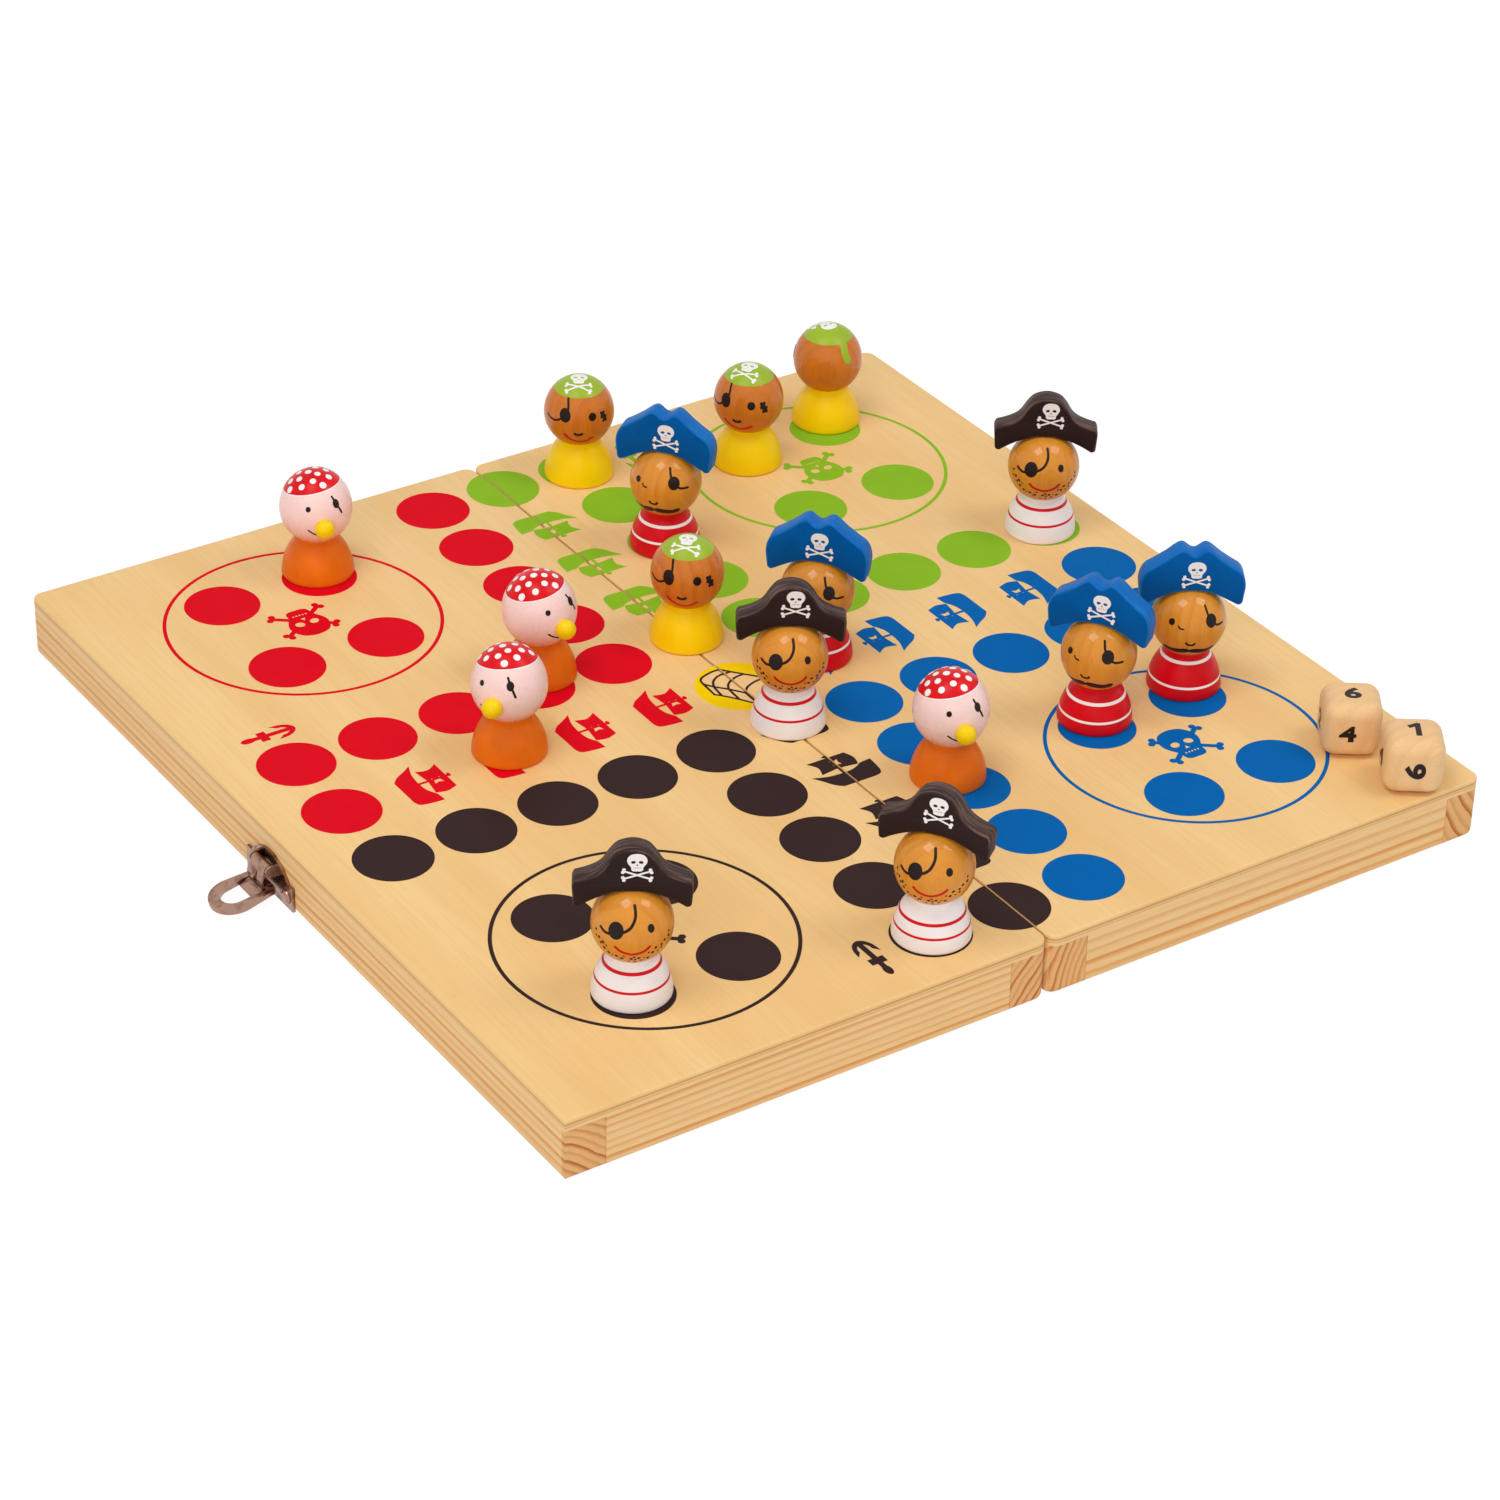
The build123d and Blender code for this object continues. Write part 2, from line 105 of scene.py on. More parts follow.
# ---------------------------------------------------------------- node trees
class Wiring:
    """Adds and links the nodes of one tree."""

    def __init__(self, tree: bpy.types.NodeTree) -> None:
        """Start on an emptied tree."""
        self.tree = tree
        tree.nodes.clear()

    def add(self, kind: str, inputs: dict | None = None, **settings: object) -> bpy.types.Node:
        """Add a node.

        Args:
            kind: Node type.
            inputs: Socket name or number against a value or the socket that feeds it.
            **settings: Properties of the node itself.

        Returns:
            The new node.
        """
        node = self.tree.nodes.new(kind)
        for name, value in settings.items():
            setattr(node, name, value)
        for key, value in (inputs or {}).items():
            if isinstance(value, Socket):
                self.tree.links.new(value, node.inputs[key])
            else:
                node.inputs[key].default_value = value
        return node

    def maths(self, operation: str, first: float | Socket, second: float | Socket = 0.0) -> Socket:
        """Result of a Math node on one or two values."""
        return self.add("ShaderNodeMath", {0: first, 1: second}, operation=operation).outputs[0]

    def ramp(self, value: Socket, low: float, high: float, start: float = 0.0, end: float = 1.0) -> Socket:
        """Value eased from start to end as it goes from low to high."""
        inputs = {"Value": value, "From Min": low, "From Max": high, "To Min": start, "To Max": end}
        return self.add("ShaderNodeMapRange", inputs, interpolation_type="SMOOTHSTEP").outputs["Result"]

    def blend(self, share: float | Socket, first: Colour | Socket, second: Colour | Socket) -> Socket:
        """Colour between two others."""
        node = self.add("ShaderNodeMix", {0: share, 6: first, 7: second}, data_type="RGBA")
        return node.outputs[2]

    def noise(self, vector: Socket, scale: float | Socket, detail: float = 2.0) -> Socket:
        """Noise value at a place counted in millimetres, with a scale per millimetre."""
        return self.add("ShaderNodeTexNoise", {"Vector": vector, "Scale": scale, "Detail": detail}).outputs[0]

    def stretched(self, vector: Socket, factors: tuple[float, float, float]) -> Socket:
        """Vector multiplied by a factor along each axis."""
        return self.add("ShaderNodeVectorMath", {0: vector, 1: factors}, operation="MULTIPLY").outputs[0]

    def effect(self, effect: "Effect", **values: object) -> bpy.types.bpy_prop_collection:
        """Outputs of a shared effect, with its inputs named with underscores for spaces."""
        inputs = {label.replace("_", " "): value for label, value in values.items()}
        return self.add("ShaderNodeGroup", inputs, node_tree=effect.tree()).outputs

    def band(self, height: Socket, middle: float, width: float) -> Socket:
        """Mask of a level band round a middle height."""
        return self.effect(Effect.BAND, Height=height, Middle=middle, Width=width)["Mask"]


def new_tree(
    name: str, kind: str, inputs: dict[str, float | int | str], outputs: Sequence[str],
) -> tuple[Wiring, bpy.types.bpy_prop_collection]:
    """Start a node group with named sockets.

    Args:
        name: Name of the group.
        kind: "Shader" for a group that puts out numbers, or "Geometry".
        inputs: Input name against its default number, or its socket type where it has no default.
        outputs: Output names.

    Returns:
        The group's wiring and the sockets of its inputs.
    """
    tree = bpy.data.node_groups.new(name, f"{kind}NodeTree")
    for label, value in inputs.items():
        sort = {float: "Float", int: "Int"}.get(type(value), value)
        socket = tree.interface.new_socket(label, in_out="INPUT", socket_type=f"NodeSocket{sort}")
        if sort != value:
            socket.default_value = value
    result = "Float" if kind == "Shader" else kind
    for label in outputs:
        tree.interface.new_socket(label, in_out="OUTPUT", socket_type=f"NodeSocket{result}")
    wires = Wiring(tree)
    return wires, wires.add("NodeGroupInput").outputs


class Effect(Enum):
    """Surface effects that several finishes share."""

    TIMBER = "Timber figure"
    LACQUER = "Lacquer film"
    BAND = "Painted band"
    METAL = "Rubbed metal"

    def tree(self) -> bpy.types.NodeTree:
        """The effect's group, built the first time it is asked for."""
        builders = {
            Effect.TIMBER: timber_figure,
            Effect.LACQUER: lacquer_film,
            Effect.BAND: painted_band,
            Effect.METAL: rubbed_metal,
        }
        return bpy.data.node_groups.get(self.value) or builders[self](self.value)


def timber_figure(name: str) -> bpy.types.NodeTree:
    """Growth rings round the local X axis, with fibres along it."""
    inputs = {"Place": "Vector", "Ring Pitch": 2.5, "Ring Drift": 1.5, "Fibre Scale": 2.5}
    wires, entry = new_tree(name, "Shader", inputs, ("Rings", "Fibres", "Height"))
    place = entry["Place"]
    across = wires.stretched(place, (0, 1, 1))
    radius = wires.add("ShaderNodeVectorMath", {0: across}, operation="LENGTH").outputs["Value"]
    wander = wires.noise(wires.stretched(place, (0.06, 1, 1)), 0.09)
    drift = wires.maths("MULTIPLY", wander, entry["Ring Drift"])
    years = wires.maths("DIVIDE", wires.maths("ADD", radius, drift), entry["Ring Pitch"])
    season = wires.maths("FRACT", years)
    late = wires.maths("MULTIPLY", wires.ramp(season, 0.35, 0.88), wires.ramp(season, 1.0, 0.93))
    year = wires.maths("FLOOR", years)
    chance = wires.add("ShaderNodeTexWhiteNoise", {"W": year}, noise_dimensions="1D").outputs["Value"]
    rings = wires.maths("MULTIPLY", late, wires.ramp(chance, 0.0, 1.0, 0.35, 1.0))
    fibres = wires.noise(wires.stretched(place, (0.035, 1, 1)), entry["Fibre Scale"], 3.0)
    height = wires.maths("ADD", wires.maths("MULTIPLY", rings, 0.6), wires.maths("MULTIPLY", fibres, 0.4))
    wires.add("NodeGroupOutput", {"Rings": rings, "Fibres": fibres, "Height": height})
    return wires.tree


def lacquer_film(name: str) -> bpy.types.NodeTree:
    """Thin uneven paint: slow changes of tone and fine ripples."""
    wires, entry = new_tree(
        name, "Shader", {"Place": "Vector", "Gloss": 0.7}, ("Tone", "Roughness", "Height"),
    )
    place = entry["Place"]
    dull = wires.maths("SUBTRACT", 1.0, entry["Gloss"])
    sheen = wires.maths("MULTIPLY", wires.noise(place, 0.5), 0.12)
    results = {
        "Tone": wires.noise(place, 0.14, 3.0),
        "Roughness": wires.maths("ADD", dull, sheen),
        "Height": wires.noise(place, 0.9, 2.0),
    }
    wires.add("NodeGroupOutput", results)
    return wires.tree


def painted_band(name: str) -> bpy.types.NodeTree:
    """Mask that is one inside a level band and zero above and below it."""
    inputs = {"Height": 0.0, "Middle": 5.0, "Width": 1.0, "Softness": 0.06}
    wires, entry = new_tree(name, "Shader", inputs, ("Mask",))
    away = wires.maths("ABSOLUTE", wires.maths("SUBTRACT", entry["Height"], entry["Middle"]))
    beyond = wires.maths("SUBTRACT", away, wires.maths("MULTIPLY", entry["Width"], 0.5))
    share = wires.maths("DIVIDE", beyond, entry["Softness"])
    wires.add("NodeGroupOutput", {"Mask": wires.ramp(share, 1.0, -1.0)})
    return wires.tree


def rubbed_metal(name: str) -> bpy.types.NodeTree:
    """Handling marks on bright plating: fine scratches and dull patches."""
    wires, entry = new_tree(
        name, "Shader", {"Place": "Vector", "Roughness": 0.2}, ("Tarnish", "Roughness", "Height"),
    )
    scratches = wires.noise(wires.stretched(entry["Place"], (0.4, 6.0, 2.0)), 1.2, 4.0)
    results = {
        "Tarnish": wires.ramp(wires.noise(entry["Place"], 0.35, 4.0), 0.42, 0.72),
        "Roughness": wires.maths("ADD", entry["Roughness"], wires.maths("MULTIPLY", scratches, 0.16)),
        "Height": scratches,
    }
    wires.add("NodeGroupOutput", results)
    return wires.tree


# ---------------------------------------------------------------- finishes
class Along(Enum):
    """Direction of the grain, as the turn that brings it to the local X axis."""

    X = (0.0, 0.0, 0.0)
    Y = (0.0, 0.0, -pi / 2)
    Z = (0.0, pi / 2, 0.0)


@dataclass(frozen=True)
class Finish:
    """A surface finish that becomes one material."""

    name: str

    def dress(self, wires: Wiring) -> ShaderInputs:
        """Wire the finish's own nodes and say what each shader input takes."""
        raise NotImplementedError

    def place(self, wires: Wiring) -> Socket:
        """Place on the piece, in millimetres."""
        place = wires.add("ShaderNodeTexCoord").outputs["Object"]
        scaled = wires.add("ShaderNodeVectorMath", {0: place, "Scale": 1 / MM}, operation="SCALE")
        return scaled.outputs[0]

    def relief(self, wires: Wiring, height: Socket, depth: float) -> Socket:
        """Normal bumped by a height that is in shares of a depth in millimetres."""
        inputs = {"Height": height, "Strength": 1.0, "Distance": depth * MM}
        return wires.add("ShaderNodeBump", inputs).outputs["Normal"]

    def material(self) -> bpy.types.Material:
        """The finish's material, built the first time it is asked for."""
        known = bpy.data.materials.get(self.name)
        if known:
            return known
        made = bpy.data.materials.new(self.name)
        made.use_nodes = True
        wires = Wiring(made.node_tree)
        shader = wires.add("ShaderNodeBsdfPrincipled", self.dress(wires))
        wires.add("ShaderNodeOutputMaterial", {"Surface": shader.outputs["BSDF"]})
        return made


@dataclass(frozen=True)
class Timber(Finish):
    """Sawn softwood: rings round a pith that lies beside the piece."""

    early: Colour
    late: Colour
    along: Along
    pith: Point
    ring_pitch: float = 2.3
    ring_drift: float = 3.0
    ring_strength: float = 0.8
    roughness: float = 0.5
    fibre_depth: float = 0.03
    coat: float = 0.0
    end_from: float = 1000.0
    end_fade: float = 0.4
    end_late: Colour = (0.0, 0.0, 0.0, 1.0)
    joint: float = 1000.0
    joint_width: float = 0.24
    specular: float = 0.4

    def dress(self, wires: Wiring) -> ShaderInputs:
        """Wire rings, fibres, darker end grain with its joint line and a varnish gloss."""
        laid = {
            "Vector": self.place(wires),
            "Rotation": self.along.value,
            "Location": (0, -self.pith[0], -self.pith[1]),
        }
        turned = wires.add("ShaderNodeMapping", laid).outputs["Vector"]
        figure = wires.effect(
            Effect.TIMBER, Place=turned, Ring_Pitch=self.ring_pitch, Ring_Drift=self.ring_drift,
        )
        place = wires.add("ShaderNodeSeparateXYZ", {"Vector": turned}).outputs
        ends = wires.ramp(wires.maths("ABSOLUTE", place["X"]), self.end_from - self.end_fade, self.end_from)
        strength = wires.ramp(ends, 0.0, 1.0, self.ring_strength, 1.0)
        rings = wires.maths("MULTIPLY", figure["Rings"], strength)
        late = wires.blend(ends, self.late, self.end_late)
        early = wires.blend(wires.maths("MULTIPLY", ends, 0.4), self.early, self.late)
        wood = wires.blend(rings, early, late)
        share = wires.ramp(ends, 0.0, 1.0, 0.2, 0.34)
        fibres = wires.maths("MULTIPLY", wires.ramp(figure["Fibres"], 0.3, 0.75), share)
        wood = wires.blend(fibres, wood, self.late)
        line = wires.band(place["Y"], self.joint - self.pith[0], self.joint_width)
        seam = wires.maths("MULTIPLY", wires.maths("MULTIPLY", line, ends), 0.7)
        return {
            "Base Color": wires.blend(seam, wood, self.end_late),
            "Roughness": wires.ramp(figure["Fibres"], 0.0, 1.0, self.roughness - 0.08, self.roughness + 0.1),
            "Coat Weight": self.coat,
            "Coat Roughness": 0.07,
            "Specular IOR Level": self.specular,
            "Normal": self.relief(wires, figure["Height"], self.fibre_depth),
        }


@dataclass(frozen=True)
class Plywood(Finish):
    """Varnished birch face veneers over a darker core that shows at the edges."""

    face: Colour
    figure: Colour
    core: Colour
    core_low: float
    core_high: float
    rail_top: float
    rail: Colour
    glue: float = 0.2

    def dress(self, wires: Wiring) -> ShaderInputs:
        """Wire the veneer's soft figure, its pores, the core band and the glue line over the rail."""
        place = self.place(wires)
        drawn_out = wires.stretched(place, (0.12, 1, 1))
        fibre_place = wires.stretched(place, (0.05, 1, 1))
        cloud = wires.ramp(wires.noise(drawn_out, 0.045, 3.0), 0.35, 0.7, 0.0, 0.55)
        fibres = wires.ramp(wires.noise(fibre_place, 1.1, 4.0), 0.35, 0.75, 0.0, 0.34)
        pores = wires.ramp(wires.noise(fibre_place, 3.6, 2.0), 0.68, 0.8, 0.0, 0.35)
        height = wires.add("ShaderNodeSeparateXYZ", {"Vector": place}).outputs["Z"]
        band = wires.band(height, (self.core_low + self.core_high) / 2, self.core_high - self.core_low)
        core = wires.maths("MULTIPLY", band, 0.7)
        veneer = self.face
        layers = ((cloud, self.figure), (fibres, self.figure), (pores, self.core), (core, self.core))
        for share, tone in layers:
            veneer = wires.blend(share, veneer, tone)
        half_glue = self.glue / 2
        over_rail = wires.ramp(height, self.rail_top - half_glue, self.rail_top + half_glue)
        wood = wires.blend(over_rail, self.rail, veneer)
        seam = wires.maths("MULTIPLY", wires.band(height, self.rail_top, self.glue), 0.8)
        return {
            "Base Color": wires.blend(seam, wood, self.core),
            "Roughness": wires.ramp(wires.noise(drawn_out, 0.3), 0.0, 1.0, 0.3, 0.44),
            "Specular IOR Level": 0.15,
            "Normal": self.relief(wires, fibres, 0.02),
        }


@dataclass(frozen=True)
class Lacquer(Finish):
    """Paint on wood: a slightly uneven film of one colour, with painted bands, or a painted reflection of a
    coloured part below blended in low down.
    """

    colour: Colour
    gloss: float = 0.72
    unevenness: float = 0.16
    specular: float = 0.2
    shade: Colour = (0.0, 0.0, 0.0, 1.0)
    bands: tuple[tuple[float, float], ...] = ()
    band_colour: Colour = (1.0, 1.0, 1.0, 1.0)
    painted_reflection: Colour | None = None
    reflection_low: float = 0.0
    reflection_high: float = 1.0

    def dress(self, wires: Wiring) -> ShaderInputs:
        """Wire the film, its bands and its painted reflection low down."""
        place = self.place(wires)
        film = wires.effect(Effect.LACQUER, Place=place, Gloss=self.gloss)
        share = wires.ramp(film["Tone"], 0.3, 0.8, 0.0, self.unevenness)
        colour = wires.blend(share, self.colour, self.shade)
        height = wires.add("ShaderNodeSeparateXYZ", {"Vector": place}).outputs["Z"]
        # painted reflection: a colour blended in towards the bottom, standing for light bounced up from the
        # part below
        if self.painted_reflection:
            low = wires.ramp(height, self.reflection_high, self.reflection_low)
            colour = wires.blend(low, colour, self.painted_reflection)
        for middle, width in self.bands:
            colour = wires.blend(wires.band(height, middle, width), colour, self.band_colour)
        return {
            "Base Color": colour,
            "Roughness": film["Roughness"],
            "Specular IOR Level": self.specular,
            "Normal": self.relief(wires, film["Height"], 0.012),
        }


@dataclass(frozen=True)
class SawnEdge(Finish):
    """Painted edge of a sawn piece: brush and saw lines that run round the outline."""

    colour: Colour
    streak: Colour
    streak_share: float = 0.8

    def dress(self, wires: Wiring) -> ShaderInputs:
        """Wire lines that follow the edge."""
        run = wires.add("ShaderNodeAttribute", attribute_name="edge_run").outputs["Vector"]
        lines = wires.noise(wires.stretched(run, (0.07, 1.0, 1.0)), 1.5, 4.0)
        share = wires.ramp(lines, 0.42, 0.72, 0.0, self.streak_share)
        return {
            "Base Color": wires.blend(share, self.colour, self.streak),
            "Roughness": wires.ramp(lines, 0.2, 0.8, 0.36, 0.56),
            "Specular IOR Level": 0.12,
            "Normal": self.relief(wires, lines, 0.12),
        }


@dataclass(frozen=True)
class Plating(Finish):
    """Bright plated steel."""

    bright: Colour
    dull: Colour
    roughness: float = 0.2

    def dress(self, wires: Wiring) -> ShaderInputs:
        """Wire tarnish and scratches over metal."""
        marks = wires.effect(Effect.METAL, Place=self.place(wires), Roughness=self.roughness)
        return {
            "Metallic": 1.0,
            "Base Color": wires.blend(marks["Tarnish"], self.bright, self.dull),
            "Roughness": marks["Roughness"],
            "Normal": self.relief(wires, marks["Height"], 0.01),
        }


# ---------------------------------------------------------------- meshes
def into_scene(item: bpy.types.Object) -> bpy.types.Object:
    """Put an object in the scene."""
    bpy.context.scene.collection.objects.link(item)
    return item


def fit(
    name: str, mesh: bpy.types.Mesh, finishes: Sequence[Finish], body: str, slot: str, *replaced: str,
) -> None:
    """Finish a piece and hand it to the body that carries it.

    Args:
        name: Name of the piece.
        mesh: Its mesh.
        finishes: Its finishes in slot order, or none where the mesh has them already.
        body: Body that it moves with.
        slot: Material slot of the record that its finish belongs to. Not used.
        *replaced: Nodes of the frame that it stands for.
    """
    for finish in finishes:
        mesh.materials.append(finish.material())
    piece = into_scene(bpy.data.objects.new(name, mesh))
    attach(piece, body)
    if replaced:
        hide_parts(*replaced)
    log.info("%s: %d faces, on %s", name, len(mesh.polygons), body)


class Solid:
    """Points and faces of one piece, gathered in millimetres before its mesh is made."""

    def __init__(self) -> None:
        """Start empty."""
        self.points: list[Vector] = []
        self.faces: list[list[int]] = []
        self.slots: list[int] = []

    def face(self, corners: list[int], slot: int) -> None:
        """Add one face."""
        self.faces.append(corners)
        self.slots.append(slot)

    def loft(self, rings: Sequence[Sequence[Vector]], slots: Sequence[int], fan: bool = True) -> None:
        """Add a closed skin through rings of equal count, which run anticlockwise seen from the last ring.

        Args:
            rings: Rings of points.
            slots: Finish of each strip between two rings, or one finish for all.
            fan: Close the ends with triangles round a middle point, or else with one flat face.
        """
        start, count = len(self.points), len(rings[0])
        for ring in rings:
            self.points.extend(ring)
        strips = len(rings) - 1
        for strip in range(strips):
            slot = slots[strip] if len(slots) > 1 else slots[0]
            low, high = start + strip * count, start + (strip + 1) * count
            for step in range(count):
                after = (step + 1) % count
                self.face([low + step, low + after, high + after, high + step], slot)
        first = [start + step for step in range(count)]
        last = [start + strips * count + step for step in range(count)]
        self._close(first[::-1], slots[0], fan)
        self._close(last, slots[-1], fan)

    def _close(self, loop: list[int], slot: int, fan: bool) -> None:
        """Close one open end."""
        if not fan:
            self.face(loop, slot)
            return
        middle = sum((self.points[index] for index in loop), Vector()) / len(loop)
        self.points.append(middle)
        hub = len(self.points) - 1
        for index, corner in enumerate(loop):
            self.face([corner, loop[(index + 1) % len(loop)], hub], slot)

    def mesh(self, name: str, crease: float = 40.0) -> bpy.types.Mesh:
        """The solid as a smooth mesh with sharp edges where it turns by more than an angle."""
        mesh = bpy.data.meshes.new(name)
        mesh.from_pydata([point * MM for point in self.points], [], self.faces)
        for polygon, slot in zip(mesh.polygons, self.slots):
            polygon.material_index = slot
        smooth(mesh, crease)
        return mesh


def smooth(mesh: bpy.types.Mesh, crease: float) -> None:
    """Shade a mesh smooth but for the edges where it turns by more than an angle."""
    work = bmesh.new()
    work.from_mesh(mesh)
    bmesh.ops.recalc_face_normals(work, faces=work.faces)
    for face in work.faces:
        face.smooth = True
    for edge in work.edges:
        edge.smooth = edge.is_manifold and edge.calc_face_angle(0.0) < radians(crease)
    work.to_mesh(mesh)
    work.free()


def from_bmesh(name: str, work: bmesh.types.BMesh, crease: float = 40.0) -> bpy.types.Mesh:
    """Mesh in metres from work in millimetres, which is used up."""
    bmesh.ops.scale(work, vec=(MM, MM, MM), verts=work.verts)
    mesh = bpy.data.meshes.new(name)
    work.to_mesh(mesh)
    work.free()
    smooth(mesh, crease)
    return mesh


def evaluated(holder: bpy.types.Object) -> bpy.types.Mesh:
    """Plain mesh of a curve, text or modified object, which is then deleted."""
    into_scene(holder)
    bpy.context.view_layer.update()
    graph = bpy.context.evaluated_depsgraph_get()
    mesh = bpy.data.meshes.new_from_object(holder.evaluated_get(graph))
    bpy.data.objects.remove(holder)
    return mesh


# ---------------------------------------------------------------- outlines
class Pen:
    """Draws the loops of flat shapes."""

    @staticmethod
    def oval(x: float, y: float, across: float, up: float, lean: float = 0.0, steps: int = 40) -> Loop:
        """Oval with the given half sizes, leaning anticlockwise."""
        loop, turn = [], radians(lean)
        for step in range(steps):
            a, b = across * cos(2 * pi * step / steps), up * sin(2 * pi * step / steps)
            loop.append((x + a * cos(turn) - b * sin(turn), y + a * sin(turn) + b * cos(turn)))
        return loop

    @staticmethod
    def circle(x: float, y: float, radius: float, steps: int) -> Loop:
        """Circle round a point."""
        return Pen.oval(x, y, radius, radius, steps=steps)

    @staticmethod
    def flowing(knots: Sequence[Point], closed: bool = False, steps: int = 6) -> Loop:
        """Smooth line through the knots."""
        count, line = len(knots), []
        for index in range(count if closed else count - 1):
            spots = [index + shift for shift in (-1, 0, 1, 2)]
            near = [knots[spot % count if closed else min(max(spot, 0), count - 1)] for spot in spots]
            line += [Pen._between(near, step / steps) for step in range(steps)]
        if not closed:
            line.append(tuple(knots[-1]))
        return line

    @staticmethod
    def _between(near: Sequence[Point], share: float) -> Point:
        """Point between the two middle knots of four."""
        a, b, c, d = (Vector(knot) for knot in near)
        point = b + share * 0.5 * (c - a) + share**2 * (a - 2.5 * b + 2 * c - 0.5 * d)
        point += share**3 * 0.5 * (3 * (b - c) + d - a)
        return (point.x, point.y)

    @staticmethod
    def bar(start: Point, end: Point, width: float) -> Loop:
        """Straight bar of one width."""
        run = (Vector(end) - Vector(start)).normalized() * width / 2
        side = Vector((-run.y, run.x))
        corners = [Vector(start) - side, Vector(end) - side, Vector(end) + side, Vector(start) + side]
        return [(corner.x, corner.y) for corner in corners]

    @staticmethod
    def mirrored(half: Sequence[Point]) -> list[Point]:
        """Right half and its mirror image, from the bottom middle round to the start."""
        left = [(-x, y) for x, y in reversed(half) if abs(x) > 1e-6]
        return list(half) + left

    @staticmethod
    def redrawn(shapes: Sequence[Shape], change: Callable[[float, float], Point]) -> list[Shape]:
        """Shapes with each point changed."""
        return [[[change(*point) for point in loop] for loop in shape] for shape in shapes]

    @staticmethod
    def moved(
        shapes: Sequence[Shape], scale: float, turn: float, x: float = 0.0, y: float = 0.0,
    ) -> list[Shape]:
        """Shapes scaled, turned anticlockwise and moved."""
        c, s = scale * cos(radians(turn)), scale * sin(radians(turn))
        return Pen.redrawn(shapes, lambda u, v: (x + c * u - s * v, y + s * u + c * v))


def bend(start: Vector, knot: Vector, end: Vector, shares: Sequence[float]) -> list[Vector]:
    """Points on the curve between two ends that makes for the knot and turns before it."""
    return [(1 - s) ** 2 * start + 2 * s * (1 - s) * knot + s**2 * end for s in shares]


def slice_at(work: bmesh.types.BMesh, spot: Vector, normal: Vector, clear: bool = False) -> None:
    """Cut along a plane, and clear what is beyond it if asked."""
    geometry = work.verts[:] + work.edges[:] + work.faces[:]
    bmesh.ops.bisect_plane(work, geom=geometry, plane_co=spot, plane_no=normal, clear_outer=clear)


def stamp(shapes: Sequence[Shape], low: float, high: float) -> bmesh.types.BMesh:
    """Closed flat prisms with the given outlines.

    Args:
        shapes: Each shape's outer loop, then its holes.
        low: Height of the underside.
        high: Height of the top.

    Returns:
        The prisms, in millimetres.
    """
    work = bmesh.new()
    for index, shape in enumerate(shapes):
        curve = bpy.data.curves.new("outline", "CURVE")
        curve.dimensions = "2D"
        curve.fill_mode = "BOTH"
        curve.extrude = (high - low) / 2 + LAYER * (index % LAYERS)
        for loop in shape:
            spline = curve.splines.new("POLY")
            spline.points.add(len(loop) - 1)
            for knot, (x, y) in zip(spline.points, loop):
                knot.co = (x, y, 0, 1)
            spline.use_cyclic_u = True
        mesh = evaluated(bpy.data.objects.new("outline", curve))
        work.from_mesh(mesh)
        bpy.data.meshes.remove(mesh)
        bpy.data.curves.remove(curve)
    bmesh.ops.translate(work, vec=(0, 0, (low + high) / 2), verts=work.verts)
    bmesh.ops.remove_doubles(work, verts=work.verts, dist=1e-4)
    bmesh.ops.recalc_face_normals(work, faces=work.faces)
    return work


class Motif(Enum):
    """Devices printed on the board, painted on hats and caps."""

    SKULL = "skull"
    BONES = "bones"
    ANCHOR = "anchor"
    BOAT = "boat"
    CHEST = "chest"

    def shapes(self) -> list[Shape]:
        """The device's shapes, upright round the origin."""
        drawers = {
            Motif.SKULL: draw_skull,
            Motif.BONES: draw_bones,
            Motif.ANCHOR: draw_anchor,
            Motif.BOAT: draw_boat,
            Motif.CHEST: draw_chest,
        }
        return drawers[self]()


def draw_skull() -> list[Shape]:
    """Skull 12 wide and 15 tall, with eyes, nose and teeth, its cheeks level with the origin."""
    half = [
        (0, -6.7), (2.2, -6.6), (3.4, -5.6), (3.7, -3.2), (4.4, -2.0), (5.6, 0.2), (6.0, 2.6), (5.3, 5.2),
        (3.4, 7.3), (0, 8.1),
    ]
    outline = Pen.flowing(Pen.mirrored(half), closed=True)
    eyes = [Pen.oval(side * 2.3, 1.0, 1.45, 1.2, side * -20, 16) for side in (-1, 1)]
    nose = [(0, -0.5), (-0.75, -1.9), (0.75, -1.9)]
    teeth = [Pen.bar((x - 0.28, -3.7), (x + 0.28, -3.7), 0.6) for x in (-2.0, -1.0, 0.0, 1.0, 2.0)]
    return [[outline, *eyes, nose, *teeth]]


def draw_bones() -> list[Shape]:
    """Two crossed bones that span 8.4 by 3.8."""
    shapes, length, knob_apart, knob_radius, shaft_width = [], 3.7, 0.42, 0.47, 0.5
    for lean in (19, -19):
        for end in (-1, 1):
            reach = Vector((cos(radians(lean)), sin(radians(lean)))) * end * length
            side = Vector((-sin(radians(lean)), cos(radians(lean)))) * knob_apart
            shapes.extend([[Pen.circle(*(reach + knob), knob_radius, 18)] for knob in (side, -side)])
        shapes.append([Pen.bar((-reach.x, -reach.y), (reach.x, reach.y), shaft_width)])
    return shapes


def draw_anchor() -> list[Shape]:
    """Slender anchor 15 tall with its ring up."""
    ring = [Pen.oval(0, 6.0, 1.1, 2.0)]
    shank = [Pen.bar((0, 4.6), (0, -6.0), 1.5)]
    stock = [Pen.bar((-2.15, 1.65), (2.15, 1.65), 2.4)]
    arm = [(3.1, -1.5), (2.8, -4.4), (1.7, -6.5)]
    outer = Pen.flowing([(-x, y) for x, y in arm] + [(0, -7.4)] + arm[::-1])
    inner = Pen.flowing([(1.8, -3.1), (1.45, -4.7), (0, -5.9), (-1.45, -4.7), (-1.8, -3.1)])
    return [ring, shank, stock, [outer + inner]]


